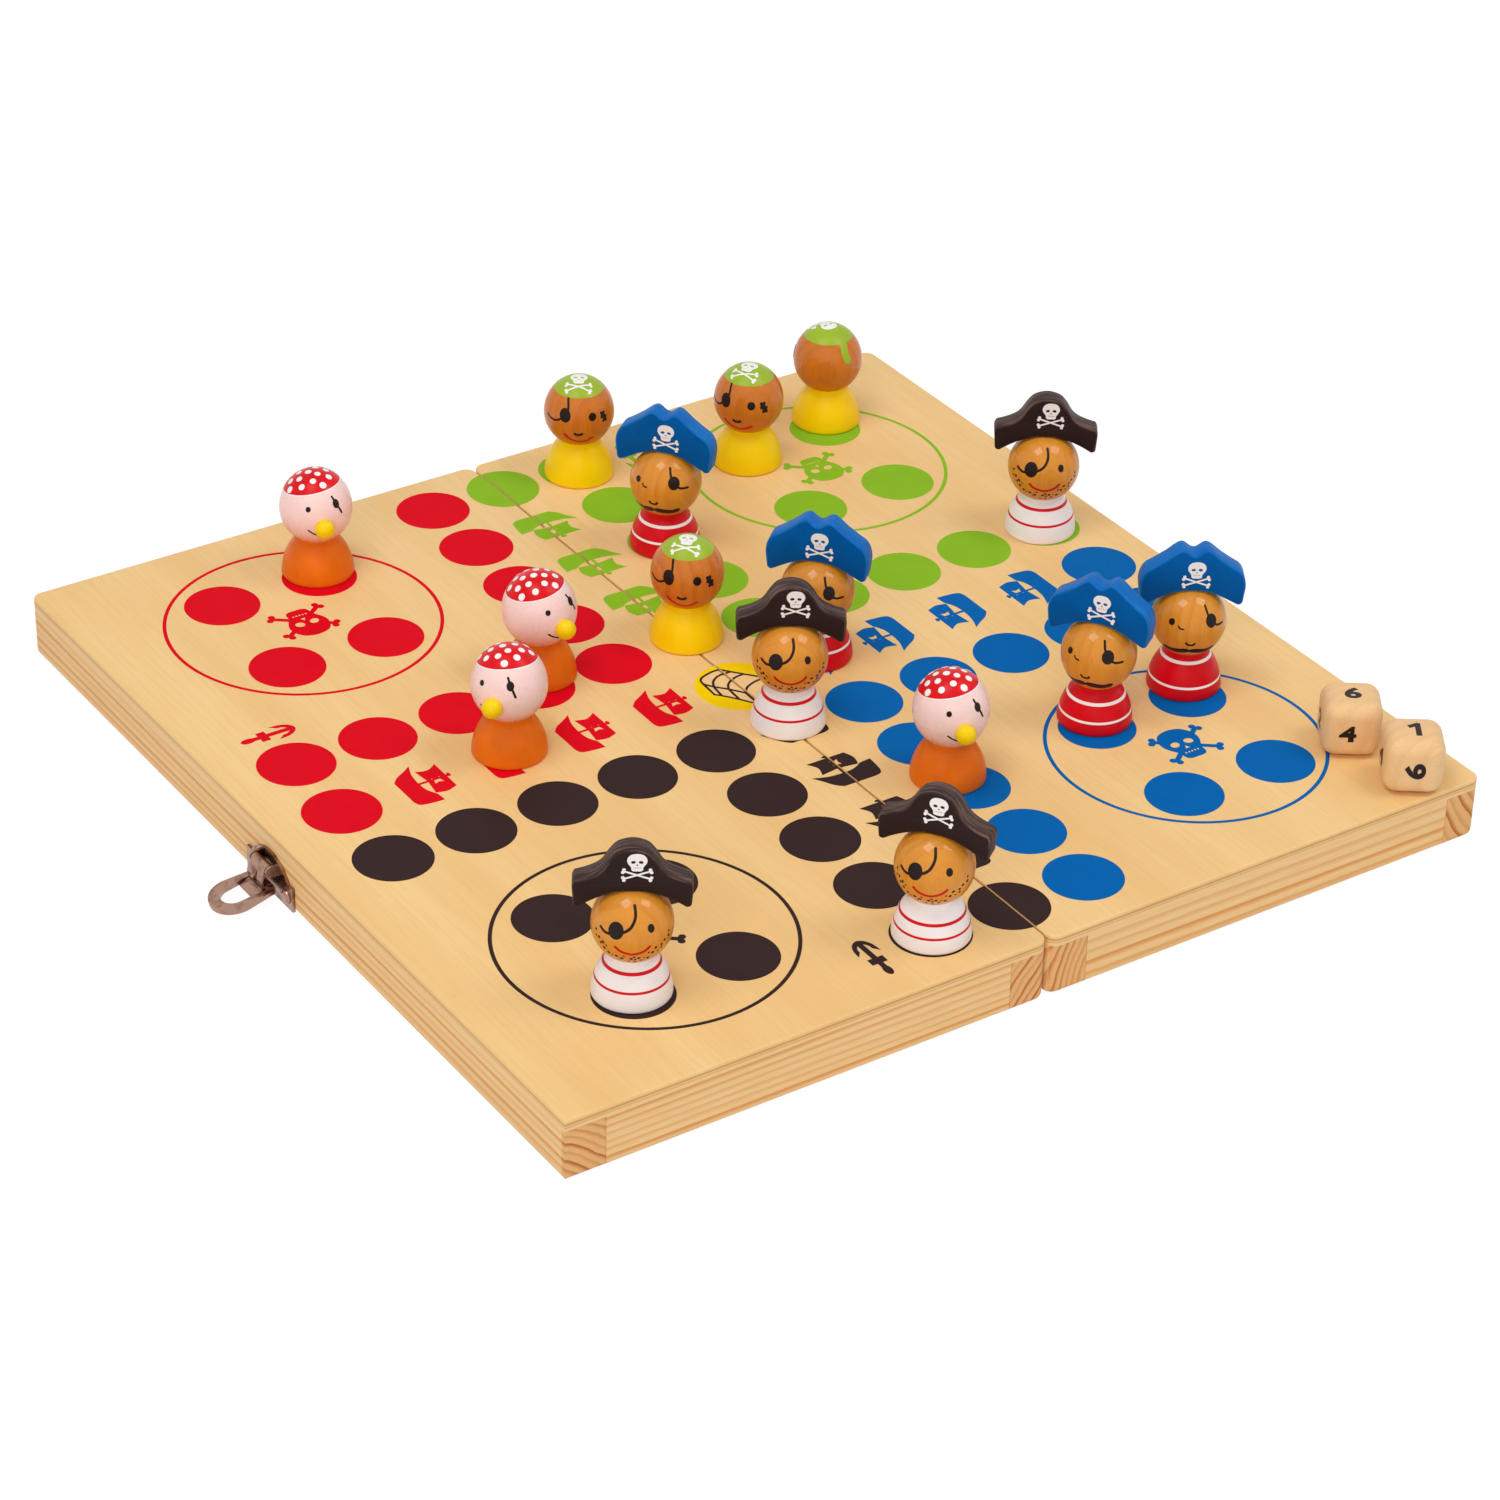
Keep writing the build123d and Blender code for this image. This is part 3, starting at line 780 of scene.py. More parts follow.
def draw_boat() -> list[Shape]:
    """Small ship 17 long and 14 tall under one square sail, bow to the left."""
    hull = Pen.flowing([(-9.5, 2.0), (-7.9, -0.4), (-6.3, -3.2), (-4.4, -5.0)])
    hull += Pen.flowing([(5.4, -5.0), (7.3, -4.1), (8.0, -0.8), (8.2, 2.3)])
    hull += Pen.flowing([(5.0, 2.0), (2.3, 0.6), (-1.2, 0.2), (-5.0, 0.5), (-7.4, 1.2)])
    mast = Pen.bar((-1.0, -0.4), (-1.0, 8.7), 0.8)
    sail = Pen.flowing([(-7.1, 8.0), (-5.5, 5.2), (-6.3, 2.0)]) + [(-1.0, 2.7)]
    sail += Pen.flowing([(4.4, 1.9), (5.1, 4.9), (4.1, 8.0)])
    reaches = [radians(45 * k) for k in range(8)]
    bones = [(-0.4 + r * cos(a), 5.1 + r * sin(a)) for a, r in zip(reaches, (0.85, 1.8) * 4)]
    top = Pen.oval(-1.2, 8.7, 0.85, 0.5, steps=16)
    return Pen.moved([[hull], [mast], [sail, bones], [top]], 1.0, 0, 0.3, -1.85)


def ribbon(points: Sequence[Point], width: float) -> Loop:
    """Outline of a line of one width through points."""
    left, right = [], []
    for k, point in enumerate(points):
        along = Vector(points[min(k + 1, len(points) - 1)]) - Vector(points[max(k - 1, 0)])
        across = Vector((-along.y, along.x)).normalized() * width / 2
        left.append(tuple(Vector(point) + across))
        right.append(tuple(Vector(point) - across))
    return left + right[::-1]


CHEST_BACK = [(-7.9, -0.7), (-6.0, 0.8), (-2.9, 3.4), (1.3, 7.0), (4.4, 9.2)]
CHEST_LEFT = [(-7.9, -0.7), (-7.8, -3.4), (-7.0, -6.3), (-5.8, -7.8), (-4.0, -8.2)]
CHEST_RIGHT = [(4.4, 9.2), (6.6, 7.2), (8.6, 3.6), (9.8, -1.2)]
CHEST_FOOT = [(2.0, -8.5), (3.1, -7.3), (6.9, -4.4), (10.5, -2.0)]
CHEST_LINE = 0.62


def chest_outline() -> Loop:
    """Outline of the treasure chest, for the window that it leaves in the disc round it."""
    back, left, right = (Pen.flowing(line) for line in (CHEST_BACK, CHEST_LEFT, CHEST_RIGHT))
    return back + right[1:] + CHEST_FOOT[::-1] + left[:0:-1]


def draw_chest() -> list[Shape]:
    """Treasure chest 18 across, drawn in lines, with a ribbed lid and a planked front."""
    crease = [(-4.0, -8.2), (-1.4, -6.5), (1.5, -3.9), (5.3, -1.1)]
    ribs = [
        [(-5.4, 1.2), (-5.5, -1.4), (-4.9, -3.6), (-3.4, -5.5), (-1.4, -6.5)],
        [(-2.7, 3.4), (-2.6, 1.4), (-1.9, -0.8), (-0.4, -2.8), (1.5, -3.9)],
        [(1.6, 7.0), (1.8, 4.4), (2.5, 2.0), (3.6, 0.2), (5.3, -1.1)],
    ]
    lines = [Pen.flowing(line) for line in (CHEST_BACK, CHEST_LEFT, CHEST_RIGHT, crease, CHEST_FOOT, *ribs)]
    lines += [[(-4.1, -8.2), (2.1, -8.5)], [(-1.4, -6.6), (3.1, -7.1)], [(1.5, -3.9), (6.9, -4.2)]]
    lines += [[(5.3, -1.1), (9.9, -1.2)], [(9.7, -1.1), (10.6, -2.1)]]
    return [[ribbon(line, CHEST_LINE)] for line in lines]


def crossed_skull() -> list[Shape]:
    """Skull 14 tall with the ends of two crossed bones standing out behind it."""
    skull_scale, lean, hidden_above, hidden_below = 0.92, 36.5, 4.4, 3.5
    shaft_end, shaft_width, knobs_at, knob_apart, knob_radius = 8.6, 1.4, 8.7, 0.9, 0.95
    shapes = Pen.moved(Motif.SKULL.shapes(), skull_scale, 0, -0.5, 0.2)
    for turn in (lean, -lean, 180 - lean, lean - 180):
        way = Vector((cos(radians(turn)), sin(radians(turn))))
        across = Vector((-way.y, way.x)) * knob_apart
        start = way * (hidden_above if way.y > 0 else hidden_below)
        shapes.append([Pen.bar(tuple(start), tuple(way * shaft_end), shaft_width)])
        for knob in (across, -across):
            shapes.append([Pen.circle(*(way * knobs_at + knob), knob_radius, 18)])
    return shapes


def jolly_roger() -> list[Shape]:
    """Broad skull over crossed bones, 8.4 wide and 8.3 tall."""
    broadening, skull_scale, skull_rise, bones_drop = 1.2, 0.358, 3.0, 0.54
    broad = Pen.redrawn(Motif.SKULL.shapes(), lambda x, y: (broadening * x, y))
    bones = Pen.moved(Motif.BONES.shapes(), 1.0, 0, 0, -bones_drop)
    return Pen.moved(broad, skull_scale, 0, 0, skull_rise) + bones


# ---------------------------------------------------------------- geometry node trees
class Repeat(Enum):
    """Geometry trees that make repeated small things."""

    DISCS = "Stamped discs"
    DOTS = "Dots on a ball"
    STUBBLE = "Stubble"

    def tree(self) -> bpy.types.NodeTree:
        """The tree, built the first time it is asked for."""
        builders = {Repeat.DISCS: disc_tree, Repeat.DOTS: dot_tree, Repeat.STUBBLE: stubble_tree}
        return bpy.data.node_groups.get(self.value) or builders[self](self.value)

    def grow(self, name: str, base: bpy.types.Mesh, **values: object) -> bpy.types.Mesh:
        """Run the tree on a base mesh.

        Args:
            name: Name of the result.
            base: Mesh whose points or faces carry the copies.
            **values: Value of each input, named with underscores for spaces.

        Returns:
            The copies as one plain mesh.
        """
        tree = self.tree()
        holder = bpy.data.objects.new(name, base)
        modifier = holder.modifiers.new(self.value, "NODES")
        modifier.node_group = tree
        sockets = {item.name: item.identifier for item in tree.interface.items_tree if item.in_out == "INPUT"}
        for label, value in values.items():
            modifier[sockets[label.replace("_", " ")]] = value
        mesh = evaluated(holder)
        mesh.name = name
        smooth(mesh, 40.0)
        return mesh


def finish_tree(wires: Wiring, entry: bpy.types.bpy_prop_collection, copies: dict) -> bpy.types.NodeTree:
    """End a tree: set the copies on their points, make them real and give them their material."""
    instances = wires.add("GeometryNodeInstanceOnPoints", copies).outputs[0]
    real = wires.add("GeometryNodeRealizeInstances", {"Geometry": instances}).outputs[0]
    dressed = wires.add("GeometryNodeSetMaterial", {"Geometry": real, "Material": entry["Material"]})
    wires.add("NodeGroupOutput", {"Geometry": dressed.outputs[0]})
    return wires.tree


def disc_tree(name: str) -> bpy.types.NodeTree:
    """Flat printed disc on every point."""
    inputs = {"Geometry": "Geometry", "Radius": 0.01, "Film": 0.0001, "Sides": 72, "Material": "Material"}
    wires, entry = new_tree(name, "Geometry", inputs, ("Geometry",))
    sizes = {"Vertices": entry["Sides"], "Radius": entry["Radius"], "Depth": entry["Film"]}
    disc = wires.add("GeometryNodeMeshCylinder", sizes).outputs["Mesh"]
    return finish_tree(wires, entry, {"Points": entry["Geometry"], "Instance": disc})


DOT_INPUTS = {
    "Geometry": "Geometry",
    "Dot Radius": 0.001,
    "Dot Height": 0.0001,
    "Size Change": 0.0,
    "Seed": 0,
    "Material": "Material",
}


def drops(wires: Wiring, entry: bpy.types.bpy_prop_collection) -> dict[str, Socket]:
    """Low round drop of paint and its random size, round one, from the tree's inputs."""
    ball = wires.add("GeometryNodeMeshUVSphere", {"Segments": 14, "Rings": 7, "Radius": entry["Dot Radius"]})
    flat = wires.maths("DIVIDE", entry["Dot Height"], entry["Dot Radius"])
    scale = wires.add("ShaderNodeCombineXYZ", {0: 1.0, 1: 1.0, 2: flat}).outputs[0]
    drop = wires.add("GeometryNodeTransform", {"Geometry": ball.outputs["Mesh"], "Scale": scale})
    change = entry["Size Change"]
    limits = {2: wires.maths("SUBTRACT", 1.0, change), 3: wires.maths("ADD", 1.0, change)}
    sizes = wires.add("FunctionNodeRandomValue", {**limits, "Seed": entry["Seed"]}, data_type="FLOAT")
    return {"Instance": drop.outputs[0], "Scale": sizes.outputs[1]}


def dot_tree(name: str) -> bpy.types.NodeTree:
    """Drop of paint on every point, lying on the ball round a centre."""
    wires, entry = new_tree(name, "Geometry", {**DOT_INPUTS, "Centre": "Vector"}, ("Geometry",))
    here = wires.add("GeometryNodeInputPosition").outputs[0]
    out = wires.add("ShaderNodeVectorMath", {0: here, 1: entry["Centre"]}, operation="SUBTRACT").outputs[0]
    turn = wires.add("FunctionNodeAlignRotationToVector", {"Vector": out}, axis="Z").outputs[0]
    return finish_tree(wires, entry, {"Points": entry["Geometry"], "Rotation": turn, **drops(wires, entry)})


def stubble_tree(name: str) -> bpy.types.NodeTree:
    """Specks of paint scattered over a patch, kept apart from each other."""
    inputs = {**DOT_INPUTS, "Spacing": 0.001, "Density": 1e6}
    wires, entry = new_tree(name, "Geometry", inputs, ("Geometry",))
    spread = {
        "Mesh": entry["Geometry"],
        "Distance Min": entry["Spacing"],
        "Density Max": entry["Density"],
        "Seed": entry["Seed"],
    }
    spots = wires.add("GeometryNodeDistributePointsOnFaces", spread, distribute_method="POISSON").outputs
    copies = {"Points": spots["Points"], "Rotation": spots["Rotation"], **drops(wires, entry)}
    return finish_tree(wires, entry, copies)


# ---------------------------------------------------------------- board
RED, GREEN, BLUE = paint(222, 8, 30), paint(138, 186, 38), paint(0, 98, 172)
FIELD_SIDES = 72
DARK, WHITE, YELLOW = paint(54, 38, 37), paint(244, 240, 238), paint(248, 208, 6)


def ink(name: str, colour: Colour) -> Lacquer:
    """Flat printing ink."""
    return Lacquer(name, colour, gloss=0.55, unevenness=0.05, specular=0.03)


class Half(Enum):
    """Halves of the box, as the side of the seam that each lies on."""

    FRONT = -1
    REAR = 1

    @property
    def body(self) -> str:
        """Body that the half is."""
        return f"{self.name.lower()}_half"


class Team(Enum):
    """The four colours, by how many quarter turns each pattern is from the red one."""

    RED = 0
    GREEN = 1
    BLUE = 2
    BLACK = 3

    @property
    def ink(self) -> Lacquer:
        """Printing ink of the team."""
        colour = {Team.RED: RED, Team.GREEN: GREEN, Team.BLUE: BLUE, Team.BLACK: DARK}[self]
        return ink(f"{self.name.lower()}_ink", colour)

    @property
    def half(self) -> Half:
        """Half that carries most of the team's pattern."""
        return Half.FRONT if self in (Team.RED, Team.BLACK) else Half.REAR

    def turned(self, x: float, y: float) -> Point:
        """A point of the red pattern, turned clockwise to this team's place."""
        for _ in range(self.value):
            x, y = y, -x
        return (x, y)


@dataclass
class Board:
    """Wooden trays and what is printed on their top."""

    first_field: float = 24.47
    field_step: float = 23.36
    field_count: int = 5
    end_field: float = 118.54
    row_shift: float = 1.77
    field_radius: float = 10.05
    yard_x: float = 84.4
    yard_y: float = 81.3
    yard_shifts: tuple[Point, ...] = ((0.0, 0.0), (0.65, 0.42), (-0.98, -0.09), (-0.18, -0.36))
    yard_radii: tuple[float, ...] = (36.4, 35.8, 35.8, 36.75)
    yard_line: float = 1.0
    yard_field_x: float = 18.0
    yard_field_y: float = 14.6
    anchor_along: float = 40.0
    anchor_outs: tuple[float, ...] = (115.5, 115.5, 115.5, 119.0)
    middle_radius: float = 11.6
    middle_at: Point = (1.6, -0.64)
    seam_face: float = 0.3
    corner_radius: float = 3.0
    sharp_radius: float = 0.02
    rim_round: float = 1.6
    panel_round: float = 0.5
    film: float = 0.04
    film_sunk: float = 0.03
    veneer: float = 2.0
    core_band: tuple[float, float] = (0.75, 0.45)
    end_skin: float = 1.0
    print_turn: float = -0.3026
    print_stretch: Point = (1.0041, 0.9954)
    print_shift: Point = (-0.383, 0.483)
    top: float = field(init=False)

    def __post_init__(self) -> None:
        """Read the height of the top from the frame."""
        self.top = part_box("front_top_panel")[1][2] / MM

    def field_at(self, column: int, row: int) -> Point:
        """Middle of a field, counted from the middle of the board."""

        def run(count: int) -> float:
            reach = self.first_field + (abs(count) - 1) * self.field_step
            if 0 in (column, row) and abs(count) == self.field_count:
                reach = self.end_field
            return reach if count > 0 else -reach if count < 0 else 0.0

        y = run(row)
        return (run(column), y - self.row_shift * ((y > 0) - (y < 0)))

    def path(self, team: Team) -> list[Point]:
        """Fields of one team's quarter of the path."""
        count = self.field_count
        red = [(0, -count)]
        red += [(-1, -row) for row in range(count, 0, -1)]
        red += [(-column, -1) for column in range(2, count + 1)]
        return [self.field_at(*team.turned(*spot)) for spot in red]

    def yard(self, team: Team) -> Point:
        """Middle of a team's yard."""
        x, y = team.turned(-1, -1)
        along, across = self.yard_shifts[team.value]
        return (x * self.yard_x + along, y * self.yard_y + across)

    def laid(self, x: float, y: float) -> Point:
        """Where a point of the artwork lies on the board, as the screen printer set it down."""
        c, s = cos(radians(self.print_turn)), sin(radians(self.print_turn))
        u, v = x * self.print_stretch[0], y * self.print_stretch[1]
        return (c * u - s * v + self.print_shift[0], s * u + c * v + self.print_shift[1])

    def yard_fields(self, team: Team) -> list[Point]:
        """The four fields in a yard."""
        x, y = self.yard(team)
        return [(x + a * self.yard_field_x, y + b * self.yard_field_y) for a in (-1, 1) for b in (-1, 1)]

    def markings(self, team: Team) -> list[Shape]:
        """Ring, skull, anchor and boats of one team."""
        quarter = -90 * team.value
        x, y = self.yard(team)
        reach = self.yard_radii[team.value]
        rims = [reach + self.yard_line / 2, reach - self.yard_line / 2]
        shapes = [[Pen.circle(x, y, rim, 144) for rim in rims]]
        shapes += Pen.moved(crossed_skull(), 1.0, 90 if x > 0 else -90, x, y)
        spot = team.turned(-self.anchor_along, -self.anchor_outs[team.value])
        shapes += Pen.moved(Motif.ANCHOR.shapes(), 1.0, quarter + 180, *spot)
        for row in range(1, self.field_count):
            spot = self.field_at(*team.turned(0, -row))
            shapes += Pen.moved(Motif.BOAT.shapes(), 1.0, quarter, *spot)
        return shapes

    def print_shapes(self, name: str, shapes: Sequence[Shape], ink: Finish, layer: int = 0) -> None:
        """Print shapes on the board, cut at the seam, with one piece for each half they touch."""
        low, high = self.top - self.film_sunk, self.top + self.film * (layer + 1)
        work = stamp(Pen.redrawn(shapes, self.laid), low, high)
        for half in Half:
            part = work.copy()
            inner, away = Vector((0, half.value * self.seam_face, 0)), Vector((0, -half.value, 0))
            slice_at(part, inner, away, clear=True)
            bmesh.ops.holes_fill(part, edges=[edge for edge in part.edges if edge.is_boundary])
            if not part.faces:
                part.free()
                continue
            piece = f"{name}_{half.name.lower()}"
            fit(piece, from_bmesh(name, part), [ink], half.body, "birch_plywood")
        work.free()

    def print_team(self, team: Team) -> None:
        """Print one team's fields and markings."""
        label = team.name.lower()
        discs, crossing = [], []
        for spot in self.path(team) + self.yard_fields(team):
            (crossing if abs(spot[1]) < self.field_radius else discs).append(spot)
        height = self.top + (self.film - self.film_sunk) / 2
        base = bpy.data.meshes.new(f"{label}_places")
        base.from_pydata([Vector((*self.laid(x, y), height)) * MM for x, y in discs], [], [])
        mesh = Repeat.DISCS.grow(
            f"{label}_fields", base,
            Radius=self.field_radius * MM, Film=(self.film + self.film_sunk) * MM, Sides=FIELD_SIDES,
            Material=team.ink.material(),
        )
        fit(f"{label}_fields", mesh, [], team.half.body, "birch_plywood")
        rounds = [[Pen.circle(x, y, self.field_radius, FIELD_SIDES)] for x, y in crossing]
        self.print_shapes(f"{label}_markings", self.markings(team) + rounds, team.ink)

    def dress_wood(self, nodes: dict[str, bpy.types.Object]) -> None:
        """Give the trays their timber."""
        birch = Plywood(
            "varnished_birch", paint(241, 203, 141), paint(230, 181, 114), paint(196, 138, 82),
            *(self.top - self.veneer * share for share in self.core_band), self.top - self.veneer,
            paint(238, 198, 142),
        )
        pale, line, end = paint(241, 203, 146), paint(218, 144, 72), paint(178, 94, 34)
        rails = {
            "front_outer_rail": (Along.X, (-152, -26), 2.1),
            "front_seam_rail": (Along.X, (24, -16), 2.2),
            "rear_seam_rail": (Along.X, (58, -8), 1.9),
            "rear_outer_rail": (Along.X, (168, 34), 2.6),
            "front_left_rail": (Along.Y, (120, -48), 2.3),
            "front_right_rail": (Along.Y, (-128, -52), 2.2),
            "rear_left_rail": (Along.Y, (132, 66), 2.9),
            "rear_right_rail": (Along.Y, (-120, -74), 3.2),
        }
        coat(nodes["rear_top_panel"], birch)
        for node, (along, pith, pitch) in rails.items():
            timber = Timber(
                f"pine_{node}", pale, line, along, pith, ring_pitch=pitch, ring_strength=0.95, specular=0.1,
            )
            if along is Along.X:
                low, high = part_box(node)
                inner = high[1] if "outer" in node and low[1] < 0 or "rear_seam" in node else low[1]
                ends = high[0] / MM - self.end_skin
                timber = replace(timber, end_from=ends, end_late=end, joint=inner / MM)
            if node == "front_outer_rail":
                self.square_rail(node, timber)
            else:
                coat(nodes[node], timber)
        self.square_panel("front_top_panel", birch)

    def rim(self, box: tuple, inset: float, rounded: Sequence[bool], fixed: bool) -> list[Vector]:
        """Level ring of a part with some upright corners rounded, anticlockwise from its left front.

        Args:
            box: Lowest and highest corners in millimetres.
            inset: How far the ring is inside the part's sides.
            rounded: Which corners are rounded.
            fixed: Whether the rear side stays where it is.

        Returns:
            The ring at height zero.
        """
        (x0, y0, _), (x1, y1, _) = box
        sides = ((x0, y0, 180), (x1, y0, 270), (x1, y1, 0), (x0, y1, 90))
        ring, steps = [], 8
        for (x, y, start), soft in zip(sides, rounded):
            sign = Vector((1 if x == x0 else -1, 1 if y == y0 else -1))
            shift = Vector((inset * sign.x, 0 if fixed and y == y1 else inset * sign.y))
            reach = self.corner_radius - inset if soft else self.sharp_radius
            centre = Vector((x, y)) + shift + sign * reach
            for step in range(steps + 1):
                angle = radians(start + 90 * step / steps)
                ring.append(Vector((centre.x + reach * cos(angle), centre.y + reach * sin(angle), 0)))
        return ring

    def square_part(
        self, node: str, finish: Finish, levels: Sequence[Point], rounded: Sequence[bool], fixed: bool,
    ) -> None:
        """Part of the front half whose corner beside the right end is left square."""
        box = [[value / MM for value in corner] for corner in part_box(node)]
        rings = [
            [point + Vector((0, 0, height)) for point in self.rim(box, inset, rounded, fixed)]
            for height, inset in levels
        ]
        solid = Solid()
        solid.loft(rings, [0], fan=False)
        name = f"{node}_squared"
        fit(name, solid.mesh(name), [finish], "front_half", "pine" if fixed else "birch_plywood", node)

    def square_rail(self, node: str, finish: Finish) -> None:
        """Rail with rounded lower edges outside."""
        high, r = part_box(node)[1][2] / MM, self.rim_round
        turns = [pi / 2 * step / 6 for step in range(7)]
        levels = [(r - r * sin(pi / 2 - turn), r - r * sin(turn)) for turn in turns]
        self.square_part(node, finish, levels + [(high, 0.0)], (True, False, False, False), True)

    def square_panel(self, node: str, finish: Finish) -> None:
        """Plywood with its top edge rounded."""
        low, high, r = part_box(node)[0][2] / MM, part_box(node)[1][2] / MM, self.panel_round
        turns = [pi / 2 * step / 4 for step in range(5)]
        levels = [(high - r + r * sin(turn), r - r * cos(turn)) for turn in turns]
        self.square_part(node, finish, [(low, 0.0), *levels], (True, False, True, True), False)

    def build(self, nodes: dict[str, bpy.types.Object]) -> None:
        """Dress the wood and print the board."""
        self.dress_wood(nodes)
        for team in Team:
            self.print_team(team)
        disc = [Pen.circle(*self.middle_at, self.middle_radius, FIELD_SIDES), chest_outline()]
        self.print_shapes("middle_disc", [disc], ink("yellow_ink", YELLOW))
        self.print_shapes("treasure_chest", Motif.CHEST.shapes(), Team.BLACK.ink, layer=1)


def coat(node: bpy.types.Object, finish: Finish) -> None:
    """Give a node of the frame its finish."""
    if not node.material_slots:
        node.data.materials.append(finish.material())
    for slot in node.material_slots:
        slot.material = finish.material()
    log.info("%s: %s", node.name, finish.name)


# ---------------------------------------------------------------- hardware
@dataclass
class Hardware:
    """Hinges, screws and the clasp."""

    nodes_for: tuple[str, ...] = ("hinge", "latch", "catch")

    def build(self, nodes: dict[str, bpy.types.Object]) -> None:
        """Plate every metal node."""
        bright = Plating("bright_nickel", paint(172, 135, 118), paint(112, 84, 71), 0.18)
        for name, node in nodes.items():
            if any(word in name for word in self.nodes_for):
                coat(node, bright)


# ---------------------------------------------------------------- pawns
INK = Lacquer("face_black", paint(30, 18, 16), gloss=0.68, unevenness=0.05)
CHALK = Lacquer("paint_white", WHITE, gloss=0.66, unevenness=0.05, shade=paint(190, 184, 180))
LIP = Lacquer("paint_red", paint(196, 14, 16), gloss=0.68, unevenness=0.08)
CAP_RED = Lacquer("cap_red", paint(222, 2, 18), gloss=0.74, unevenness=0.1)
CAP_GREEN = Lacquer("cap_green", paint(156, 184, 44), gloss=0.74, unevenness=0.16, shade=paint(130, 140, 30))


HUB = 0.02  # radius at which a turned skin meets its closing face on the axis


@dataclass
class Turning:
    """Foot and ball of a pawn, turned from one piece."""

    foot_radius: float = 9.7
    foot_round: float = 0.8
    waist: Point = (8.8, 5.4)
    neck: Point = (6.0, 10.4)
    neck_round: float = 0.8
    head_radius: float = 9.7
    head_height: float = 19.7
    hat_seat: float = 0.2
    sides: int = 72
    ball_steps: int = 40

    @property
    def head_top(self) -> float:
        """Height of the flat that a hat is glued to."""
        return self.head_height + self.head_radius - self.hat_seat

    def flank(self) -> list[Point]:
        """Points up the foot, on the circle through its base, waist and neck."""
        (ax, ay), (bx, by), (cx, cy) = (self.foot_radius, 0.0), self.waist, self.neck
        turn = 2 * (ax * (by - cy) + bx * (cy - ay) + cx * (ay - by))
        squares = [x * x + y * y for x, y in ((ax, ay), (bx, by), (cx, cy))]
        ux = (squares[0] * (by - cy) + squares[1] * (cy - ay) + squares[2] * (ay - by)) / turn
        uy = (squares[0] * (cx - bx) + squares[1] * (ax - cx) + squares[2] * (bx - ax)) / turn
        radius = hypot(ax - ux, ay - uy)
        low, high = self.foot_round, cy - self.neck_round * 0.7
        heights = [low + (high - low) * step / 14 for step in range(15)]
        return [(ux + sqrt(radius**2 - (height - uy) ** 2), height) for height in heights]

    def profile(self, hatted: bool) -> tuple[list[Point], int]:
        """Radius and height from the base's middle to the crown.

        Args:
            hatted: Whether the crown is planed flat for a hat.

        Returns:
            The points, and how many of them are on the foot.
        """
        flank = self.flank()
        foot_corner = (self.foot_radius, 0.0)
        points = [(HUB, 0.0), (self.foot_radius - self.foot_round, 0.0)]
        points += self._corner(points[-1], foot_corner, flank[0])
        points += flank
        rise = sqrt(self.head_radius**2 - self.neck[0] ** 2)
        points += self._corner(flank[-1], self.neck, (self.neck[0], self.neck[1] + self.neck_round))
        points.append((self.neck[0], self.head_height - rise))
        on_foot = len(points)
        start = asin(-rise / self.head_radius) + 0.01
        end = asin(1 - self.hat_seat / self.head_radius) if hatted else pi / 2 - 0.002
        for step in range(self.ball_steps + 1):
            angle = start + (end - start) * step / self.ball_steps
            points.append((self.head_radius * cos(angle), self.head_height + self.head_radius * sin(angle)))
        if hatted:
            points.append((HUB, self.head_top))
        return points, on_foot

    def _corner(self, start: Point, corner: Point, end: Point) -> list[Point]:
        """Rounded corner between two points."""
        curve = bend(Vector(start), Vector(corner), Vector(end), (0.2, 0.4, 0.6, 0.8))
        return [tuple(point) for point in curve]

    def mesh(self, name: str, spot: Vector, hatted: bool) -> bpy.types.Mesh:
        """The turned peg, with the foot in the first finish and the ball in the second."""
        points, on_foot = self.profile(hatted)
        rings = []
        for radius, height in points:
            turns = [2 * pi * step / self.sides for step in range(self.sides)]
            rings.append([spot + Vector((radius * cos(a), radius * sin(a), height)) for a in turns])
        solid = Solid()
        solid.loft(rings, [0 if index < on_foot - 1 else 1 for index in range(len(rings) - 1)])
        return solid.mesh(name)


